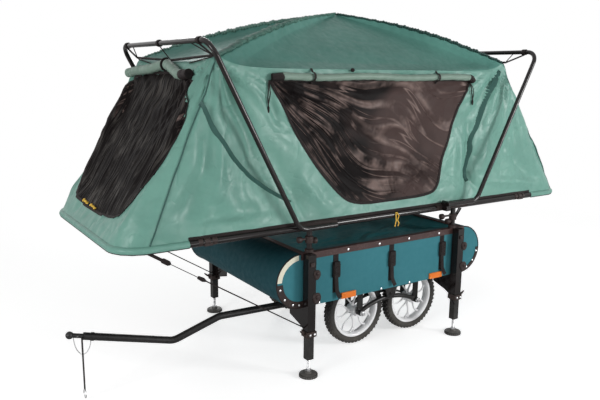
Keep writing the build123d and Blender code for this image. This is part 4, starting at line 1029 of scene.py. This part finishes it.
def window_rolls():
    """Flaps rolled up above each window, with their ties and open black ends."""
    roll, dark = bmesh.new(), bmesh.new()
    for wall, side in (("near", 1), ("far", -1)):
        points = []
        for x in range(508, -457, -20):
            spot = on_wall(wall, x, ROLL_Z)
            points.append((x, spot.y / MM + side * (ROLL_R - 5), ROLL_Z + 2.5 * sin(x / 70)))
        rolled(roll, points, ROLL_R - 1.5, side)
        for x0, x1, drop in ((505, 548, 3), (-450, -478, 14)):
            y0, y1 = (on_wall(wall, x, ROLL_Z).y / MM + side * (ROLL_R - 5) for x in (x0, x1))
            middle = ((x0 + x1) / 2, y0, ROLL_Z - drop * 0.3)
            rolled(dark, [(x0, y0, ROLL_Z), middle, (x1, y1, ROLL_Z - drop)], ROLL_R - 1.0, side + 3)
        for x in SIDE_TIES:
            tie_round(dark, wall, x, ROLL_Z, side, ROLL_R + 1.5)
    for wall, sign in (("front", 1), ("rear", -1)):
        for (y0, z0), (y1, z1) in (((-346, 1166), (-16, 1202)), ((12, 1202), (214, 1164))):
            points = []
            for i in range(15):
                share = i / 14
                y = y0 + (y1 - y0) * share
                z = z0 + (z1 - z0) * share ** (1.4 if y0 < 0 else 0.7) + 4 * sin(2 * pi * share)
                x = end_wall_x(wall, max(min(y, 350), -350), z)
                points.append((x + sign * (15 + 4 * sin(pi * share)), y, z))
            rolled(roll, points, 18.5, sign + y0)
        x = end_wall_x(wall, 230, 1166) + sign * 17
        rolled(dark, [(x, 208, 1165), (x, 236, 1163), (x - sign * 2, 268, 1168)], 18.0, 5)
        x = end_wall_x(wall, -3, 1206)
        turn = [radians(d) for d in range(-110, 111, 20)]
        loop = [(x + sign * (14 + 22 * cos(a)), -3, 1200 + 23 * sin(a)) for a in turn]
        bar(dark, loop, 5.0, sides=6, wide=0.35)
    hung("window_roll", outward(roll), PALE_NYLON)
    hung("roll_ties", outward(dark), WEBBING)


def end_wall_x(wall, y, z):
    """Place along the bed of an end wall's skin."""
    return (on_wall(wall, y, z).x - MID_X) / MM


PULLS = (  # wall, its two coordinates at the top, drop, sideways swing
    ("near", 556, 1150, 92, 8), ("near", -468, 1140, 72, -18), ("far", 556, 1150, 92, 8),
    ("far", -468, 1140, 72, -18), ("front", -392, 1120, 70, 8), ("front", 262, 1150, 88, 14),
    ("rear", -330, 1140, 80, 8), ("rear", 300, 1150, 80, -8))


def zip_pulls():
    """Black cords that hang at the windows' top corners and yellow ones at their feet."""
    dark, bright, low = bmesh.new(), bmesh.new(), bmesh.new()
    for wall, a, b, drop, swing in PULLS:
        limit = 345 if wall in ("front", "rear") else 2000
        for spread in (-1, 1):
            route = []
            for i in range(9):
                share = i / 8
                edge = a + swing * share + spread * 5 * sin(pi * share)
                edge = max(min(edge, limit), -limit)
                route.append(on_wall(wall, edge, b - drop * share, 5.0 + 3.0 * sin(pi * share)))
            swept(dark, route, 2.0 * MM, sides=6)
        toggle = [route[-1] - Vector((0, 0, k)) for k in (0, 0.008, 0.020, 0.026)]
        swept(dark, toggle, [2 * MM, 4.5 * MM, 4.5 * MM, 2 * MM], sides=8)
    for wall, out in (("near", 1), ("far", -1)):
        knob = on_wall(wall, 190, 1187)
        swept(dark, [knob + Vector((0, out * k * MM, 0)) for k in (0, 2, 4, 11, 15)],
              [3 * MM, 3 * MM, 7.5 * MM, 7.5 * MM, 3 * MM], sides=12)
    for wall in ("front", "rear"):
        for a, b in ((-112, 672), (-22, 668)):
            bow = [(a + da, b + db) for da, db in ((-32, 4), (-20, 14), (-6, 2), (6, 12), (18, 0), (28, 8))]
            lay_on(bright, wall, rounded(bow, 2, closed=False), 4.0, 5.0)
    hung("zip_pulls", outward(dark), WEBBING)
    hung("door_pulls", outward(bright), YELLOW)
    for side in (1, -1):
        for dx in (-9, 7):
            points = [(-32, 0.3, 413, 612), (-33, 1, 418, 596), (-30, 0.4, 419, 580), (-34, 1.2, 417, 566),
                      (-31, 1, 416, 553)]
            cord_run(low, [(x + dx * spread, side * y, z) for x, spread, y, z in points], 2.2)
    fitted("window_pulls", low, YELLOW, "webbing", "chassis")


WIRE_ROUTE = (
    (1223.64, 130.26, 250.4), (1221.6, 130.26, 222.0), (1212.6, 130.26, 189.0), (1192.6, 130.26, 166.0),
    (1171.6, 130.26, 181.0), (1161.6, 130.26, 208.4), (1160.85, 130.28, 235.94))


def pin_wire():
    """Thin retaining cable between the hitch's two pegs."""
    curve = bpy.data.curves.new("pin_cable", "CURVE")
    curve.dimensions = "3D"
    curve.bevel_depth, curve.bevel_resolution, curve.resolution_u = 0.0015, 4, 16
    curve.use_fill_caps = True
    line = curve.splines.new("NURBS")
    line.points.add(len(WIRE_ROUTE) - 1)
    for point, place in zip(line.points, WIRE_ROUTE):
        point.co = (*at(*place), 1.0)
    line.order_u = 3
    line.use_endpoint_u = True
    curve.materials.append(ZINC)
    piece = bpy.data.objects.new("pin_cable", curve)
    bpy.context.scene.collection.objects.link(piece)
    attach(piece, "chassis")
    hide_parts("pin_wire")


def cord_run(bm, points, radius):
    """Thin cord through space points in millimetres."""
    bar(bm, dense(points, 12.0), radius, sides=6)


def corner_cords():
    """Cords and clips that hold the tent's top corners up to the hoops."""
    bm = bmesh.new()
    for sign, x_corner, bar_x, y_bar in ((1, 770, 815, 400), (-1, -698, -815, 424)):
        for side in (1, -1):
            corner = (x_corner, side * 368, 1228)
            cord_run(bm, [corner, (bar_x, side * (y_bar - 45), 1266)], 3.6)
            cord_run(bm, [corner, (bar_x, side * (y_bar - 110), 1270)], 2.2)
            bar(bm, [(bar_x, side * (y_bar - 45) + k * 5 - 10, 1278) for k in range(5)], 13.0, sides=12)
            low = (x_corner + sign * 9, side * 190, 1205)
            cord_run(bm, [(x_corner + sign * 2, side * 352, 1224), low], 2.2)
        bar(bm, [(bar_x, k * 5 - 8, 1278) for k in range(4)], 13.5, sides=12)
        cord_run(bm, [(bar_x, 0, 1268), (x_corner + sign * 4, 2, 1218)], 2.2)
        cord_run(bm, [(x_corner, -366, 1230), (x_corner + sign * 2, 0, 1216), (x_corner, 366, 1230)], 5.0)
    hung("corner_cords", outward(bm), WEBBING)


def rail_boots():
    """Dark cloth pockets on the middle rails where the hoops' feet lie."""
    bm = bmesh.new()
    for side in (1, -1):
        for x0, x1 in ((272, 452), (-452, -266)):
            points, radii = [], []
            for i in range(16):
                share = i / 15
                points.append((x0 + (x1 - x0) * share, side * 401.0, 603 + 4 * sin(pi * share)))
                radii.append(14.5 + 2.5 * sin(pi * share) + 0.8 * noise_at(i * 0.5, side, x0))
            bar(bm, points, radii, sides=14)
    fitted("rail_pockets", bm, BOOT, "webbing", "chassis", "rail_boots")


def cargo_cover():
    """Cloth cover laced over the cargo box between its top rails."""
    low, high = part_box("top_frame")
    bm = bmesh.new()
    bmesh.ops.create_grid(bm, x_segments=90, y_segments=72, size=0.5)
    for v in bm.verts:
        u, w = v.co.x + 0.5, v.co.y + 0.5
        x = low.x + 0.020 + (high.x - low.x - 0.040) * u
        y = low.y + 0.020 + (high.y - low.y - 0.040) * w
        hold = min(1.0, min(u, 1 - u, w, 1 - w) * 9)
        sag = -0.012 * hold + 0.005 * hold * noise_at(x * 6, y * 5, 2) + \
            0.003 * hold * ripples(x / MM, y / MM, 3.0, 260.0, 60.0, 0.5)
        v.co = (x, y, high.z - 0.004 + sag)
    piece = finished("box_cover", bm, COVER, solid=0.002)
    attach(piece, "chassis")
    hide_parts("cargo_cover")


STAY_TOP, STAY_LEG = (1034, 392, 589), (422, 412, 203)


def front_stays():
    """Strap, cam buckle and cord from the bed's front down to each front leg's clamp."""
    bm = bmesh.new()
    for side in (1, -1):
        a, b = (Vector((x, y * side, z)) for x, y, z in (STAY_TOP, STAY_LEG))
        for shares, radius, sides, wide in (((0.0, 0.1), 6.5, 6, 0.25), ((0.1, 0.29), 1.5, 6, 1.0),
                                            ((0.29, 0.32, 0.34, 1.0), (6, 8, 2.4, 2.4), 8, 1.0),
                                            ((0.075, 0.085, 0.12, 0.13), (4, 9, 9, 4), 4, 0.7)):
            bar(bm, [a + (b - a) * share for share in shares], radius, sides=sides, wide=wide)
    piece = fitted("stay_lines", bm, WEBBING, "webbing", "front_end", "front_stays")
    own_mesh(piece)


def shield(bm, x, face, side, z0, z1, wide):
    """Pointed shield plate on a sleeve's outer face, with its round boss."""
    half_z = (z0 + z1) / 2
    outline = [(-wide * 0.6, z1), (wide * 0.6, z1), (wide, half_z + 6), (wide * 0.7, z0 + 12), (0, z0),
               (-wide * 0.7, z0 + 12), (-wide, half_z + 6)]
    verts = [bm.verts.new(at(x + a, face, b)) for a, b in rounded(outline, 2)]
    made = bmesh.ops.extrude_face_region(bm, geom=[bm.faces.new(verts)])["geom"]
    upper = [v for v in made if isinstance(v, bmesh.types.BMVert)]
    bmesh.ops.translate(bm, vec=(0, side * 0.006, 0), verts=upper)
    middle = sum((v.co for v in upper), Vector()) / len(upper)
    for v in upper:
        v.co += (middle - v.co) * Vector((0.16, 0, 0.16))
    bar(bm, [(x, face + side * b, half_z + 8) for b in (5.5, 9.5, 11.0)], (8, 8, 5), sides=10)


def leg_locks():
    """Brown shields, clamp collars, levers and bolts on the leg sleeves."""
    plastic, zinc = bmesh.new(), bmesh.new()
    for end in (1, -1):
        for side in (1, -1):
            x, y = LEG_X * end, LEG_Y * side
            face = y + side * SLEEVE_HALF
            shield(plastic, x - 22, face, side, 393, 437, 18)
            shield(plastic, x - 22, face, side, 295, 346, 22)
            for low_x, low_y, high_x, high_y in ((-22, -22, -18, 22), (18, -22, 22, 22), (-22, -22, 22, -18),
                                                 (-22, 18, 22, 22)):
                block(plastic, (x + low_x, y + low_y, 168), (x + high_x, y + high_y, 190))
            block(plastic, (x - 9, face, 452), (x + 9, face + side * 5, 468))
            lever = ((20, 4, 178), (36, 8, 190), (48, 10, 200))
            lever = [(x + a * end, y + side * b, z) for a, b, z in lever]
            bar(plastic, lever, (4, 5, 3), sides=8)
            for dx in (-10, 10):
                bar(zinc, [(x + dx, y + side * b, 179) for b in (21.5, 27, 28)], (5, 5, 3), sides=6)
    fitted("leg_clamps", plastic, PLASTIC, "guard", "chassis", "leg_locks", bevel=0.0015)
    fitted("leg_bolts", zinc, ZINC, "steel", "chassis")


def leg_feet():
    """Bright levelling screws with their nuts, and ribbed round feet, on the sliding legs."""
    for corner in CORNERS:
        x = LEG_X if corner.startswith("front") else -LEG_X
        y = LEG_Y if corner.endswith("left") else -LEG_Y
        screw, foot = bmesh.new(), bmesh.new()
        turns = range(33)
        bar(screw, [(x, y, 18 + 1.5 * k) for k in turns], [5.6 if k % 2 else 4.9 for k in turns], sides=16)
        bar(screw, [(x, y, z) for z in (21, 22, 29, 30)], (9.5, 11, 11, 9.5), sides=6)
        profile = [(0.1, 0.2), (34, 0.2), (37.4, 2.5), (37.4, 8.5), (33, 12.6), (14, 14), (11.5, 21.3),
                   (0.1, 21.3)]
        turned(foot, profile, at(x, y, 0), (0, 0, 1), steps=48)
        for k in range(24):
            rib = bmesh.ops.create_cube(foot, size=1.0)["verts"]
            bmesh.ops.scale(foot, vec=(0.003, 0.0055, 0.0062), verts=rib)
            bmesh.ops.translate(foot, vec=(0.0362, 0, 0.0055), verts=rib)
            bmesh.ops.rotate(foot, verts=rib, cent=(0, 0, 0), matrix=Matrix.Rotation(2 * pi * k / 24, 3, "Z"))
            bmesh.ops.translate(foot, vec=at(x, y, 0), verts=rib)
        fitted(f"leg_screw_{corner}", screw, ZINC, "steel", f"leg_{corner}")
        fitted(f"leg_foot_{corner}", foot, PAD, "guard", f"leg_{corner}")


MAST_X = 389
MAST_KNOBS = ((1, 54, 552), (1, -34, 541), (-1, 78, 556), (-1, 40, 530))


def mast_knobs():
    """Clamp collars and hand knobs at the posts under the bed."""
    bm = bmesh.new()
    for side in (1, -1):
        y = 391.5 * side
        for end in (1, -1):
            for z0, z1, r in ((535, 563, 16.5), (497.5, 512, 18)):
                cuff = [(MAST_X * end, y, z) for z in (z0, z0 + 1.5, z1 - 1.5, z1)]
                bar(bm, cuff, (r * 0.8, r, r, r * 0.8), sides=16)
        for end, reach, z in MAST_KNOBS:
            x, way = MAST_X * end, 1 if reach > 0 else -1
            bar(bm, [(x, y, z), (x + reach - way * 18, y, z)], 4.5, sides=8)
            knob = [(x + reach - way * back, y, z) for back in (20, 18, 14, 3, 0)]
            bar(bm, knob, (7, 11, 13, 13, 9), sides=12)
    fitted("hand_knobs", bm, PLASTIC, "webbing", "chassis", "mast_knobs")


def rail_fittings():
    """Clamp fittings on the folding ends' rails."""
    for name, end in (("front", 1), ("rear", -1)):
        bm = bmesh.new()
        for side in (1, -1):
            for x0, x1, r in ((786, 806, 14.6), (812, 834, 15), (840, 857, 14.4)):
                route = [(end * x, RAIL_Y * side, 601.6) for x in (x0, x0 + 2, x1 - 2, x1)]
                bar(bm, route, (r * 0.86, r, r, r * 0.86), sides=14)
            block(bm, (end * 806, RAIL_Y * side, 589), (end * 838, 416 * side, 598))
        fitted(f"rail_fittings_{name}", bm, PLASTIC, "frame", f"{name}_end")


def box_trim():
    """Rivets, rail bolts, end piping, reflector ribs, buckles and loose strap tails on the cargo box."""
    zinc, piping, tails, ribs = bmesh.new(), bmesh.new(), bmesh.new(), bmesh.new()
    for side in (1, -1):
        for x in (205, 42, -122, 415, -300):
            bar(zinc, [(x, side * b, 484) for b in (399, 401, 402.5)], (5, 5, 2.5), sides=10)
        for x in (176, 20, -140, 340, -400):
            bar(zinc, [(x, side * b, 284) for b in (394, 396.5, 398)], (5, 5, 2), sides=10)
        for end, x_mid in ((1, 428), (-1, -458)):
            for angle in (-12, -40, -68, -86):
                px, pz = x_mid + end * 96 * cos(radians(angle)), 387 + 96 * sin(radians(angle))
                bar(zinc, [(px, side * b, pz) for b in (395.5, 397.5, 398.5)], (4.5, 4.5, 2), sides=10)
            turn = [radians(a) for a in range(-90, 91, 5)]
            arc = [(x_mid + end * 108 * cos(a), side * 393.5, 387 + 107.5 * sin(a)) for a in turn]
            bar(piping, arc, 2.6, sides=8)
        for x in (262, -30, -326):
            tail = ((0, 400, 384), (1, 402, 350), (3, 403, 322), (8, 408, 305), (14, 411, 292))
            bar(tails, dense([(x - back, side * b, z) for back, b, z in tail], 8), 11.0, sides=6, wide=0.09)
            for z0, z1, wide in ((424, 442, 17), (396, 421, 14), (378, 393, 17)):
                for v in block(tails, (x - wide, side * 396, z0), (x + wide, side * 407.5, z1)):
                    if v.co.y * side > 0.403:
                        v.co.x += (at(x, 0, 0).x - v.co.x) * 0.2
        for x in (197, -293):
            for low in range(x - 35, x + 32, 6):
                block(ribs, (low, side * 401.5, 283), (low + 4, side * 403.4, 303))
    fitted("box_rivets", zinc, ZINC, "steel", "chassis")
    fitted("box_piping", piping, WEBBING, "webbing", "chassis")
    fitted("strap_tails", tails, WEBBING, "webbing", "chassis")
    fitted("reflector_ribs", ribs, ORANGE, "reflector", "chassis")


def rear_struts():
    """Short black struts from the rear posts up to the rear of the bed."""
    bm = bmesh.new()
    for side in (1, -1):
        for z0, x1, z1 in ((520, -448, 590), (505, -452, 578)):
            middle = ((x1 - 389) / 2, side * 378, (z0 + z1) / 2 - 4)
            bar(bm, [(-389, side * 380, z0), middle, (x1, side * 380, z1)], 3.5, sides=8)
    fitted("rear_struts", bm, TUBE, "frame", "chassis")


def tyre_shape():
    """Knobbly tyre about the origin: a spun casing with block lugs on its crown and shoulders."""
    bm = bmesh.new()
    profile = [(119.5, 16.5), (121, 20), (127, 23), (134, 23.6), (140, 22), (144, 18.5), (146, 12),
               (146.4, 0)]
    profile += [(r, -a) for r, a in reversed(profile[:-1])] + [(117.5, -14), (117.5, 14)]
    turned(bm, profile, (0, 0, 0), (0, 1, 0), steps=64)
    count = 46
    for phase, across, length, thick, width, top in (
            (0.0, 0.0, 13.0, 5.0, 8.5, 150.0), (0.5, 13.0, 11.0, 4.0, 7.5, 149.4),
            (0.5, -13.0, 11.0, 4.0, 7.5, 149.4), (0.0, 20.2, 9.0, 4.5, 6.5, 146.6),
            (0.0, -20.2, 9.0, 4.5, 6.5, 146.6)):
        for step in range(count):
            angle = 2 * pi * (step + phase) / count
            lug = bmesh.ops.create_cube(bm, size=1.0)["verts"]
            bmesh.ops.scale(bm, vec=(length * MM, width * MM, thick * MM), verts=lug)
            bmesh.ops.scale(bm, vec=(0.78, 0.82, 1.0), verts=[v for v in lug if v.co.z > 0])
            bmesh.ops.translate(bm, vec=(0, across * MM, (top - thick / 2) * MM), verts=lug)
            bmesh.ops.rotate(bm, verts=lug, cent=(0, 0, 0), matrix=Matrix.Rotation(angle, 3, "Y"))
    bmesh.ops.recalc_face_normals(bm, faces=bm.faces)
    return bm


def wheel_shape():
    """Cast wheel about the origin: deep rim, hub, five pairs of swept spokes and a valve."""
    bm = bmesh.new()
    half = [(119, 19.5), (119, 16.8), (112, 16.6), (108.5, 10)]
    inner = [(104.5, 10), (108, 17.5), (112.5, 20)]
    rim = [*half, (108, 0), *((r, -a) for r, a in half[::-1]), *((r, -a) for r, a in inner[::-1]),
           (103.5, 0), *inner]
    turned(bm, rim, (0, 0, 0), (0, 1, 0), steps=72)
    barrel = [(22, 26), (24, 20), (21, 9), (21, -9), (24, -20), (22, -26), (6, -26), (6, 26)]
    turned(bm, barrel, (0, 0, 0), (0, 1, 0), steps=32)
    for step in range(5):
        for lean, reach in ((15, 17), (-9, -11)):
            route, radii = [], []
            for i in range(13):
                share = i / 12
                r = 20 + 86 * share
                angle = radians(step * 72 + lean * share + reach * sin(pi * share))
                route.append(Vector((r * cos(angle), -3.0 + 5.0 * sin(pi * share), r * sin(angle))) * MM)
                radii.append((6.2 - 2.6 * sin(pi * share * 0.9)) * MM)
            swept(bm, route, radii, sides=8, wide=0.9)
    swept(bm, [Vector((0, 0.004, z)) for z in (-0.1, -0.082, -0.078)], [3 * MM, 2.6 * MM, 1.5 * MM], sides=8)
    return outward(bm)


def running_gear():
    """Tyres, cast wheels and axle nuts in place of the plain ones."""
    nuts = bmesh.new()
    shapes = (("lugged_tyre", "tyre", tyre_shape(), RUBBER, "tyre", 35),
              ("cast_wheel", "wheel", wheel_shape(), CAST, "mag", 50))
    for corner in CORNERS:
        x = 47.0 if corner.startswith("front") else -279.0
        side = 1 if corner.endswith("left") else -1
        for name, node, shape, material, slot, smooth in shapes:
            bm = shape.copy()
            bmesh.ops.translate(bm, vec=at(x, WHEEL_Y * side, WHEEL_R), verts=bm.verts)
            piece = finished(f"{name}_{corner}", bm, material, smooth=radians(smooth))
            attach(piece, f"wheel_{corner}")
            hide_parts(f"{node}_{corner}")
        for y0, y1, r in ((305, 313, 12), (313, 321, 8)):
            bar(nuts, [(x, side * y0, WHEEL_R), (x, side * y1, WHEEL_R)], r, sides=6)
    fitted("axle_nuts", nuts, ZINC, "steel", "chassis", bevel=0.001)


pin_wire()
window_edges()
seams_and_hem()
ridge_sleeves()
hoop_shadow_strips()
end_skirts()
window_rolls()
zip_pulls()
corner_cords()
rail_boots()
cargo_cover()
front_stays()
leg_locks()
leg_feet()
mast_knobs()
rail_fittings()
box_trim()
rear_struts()
running_gear()
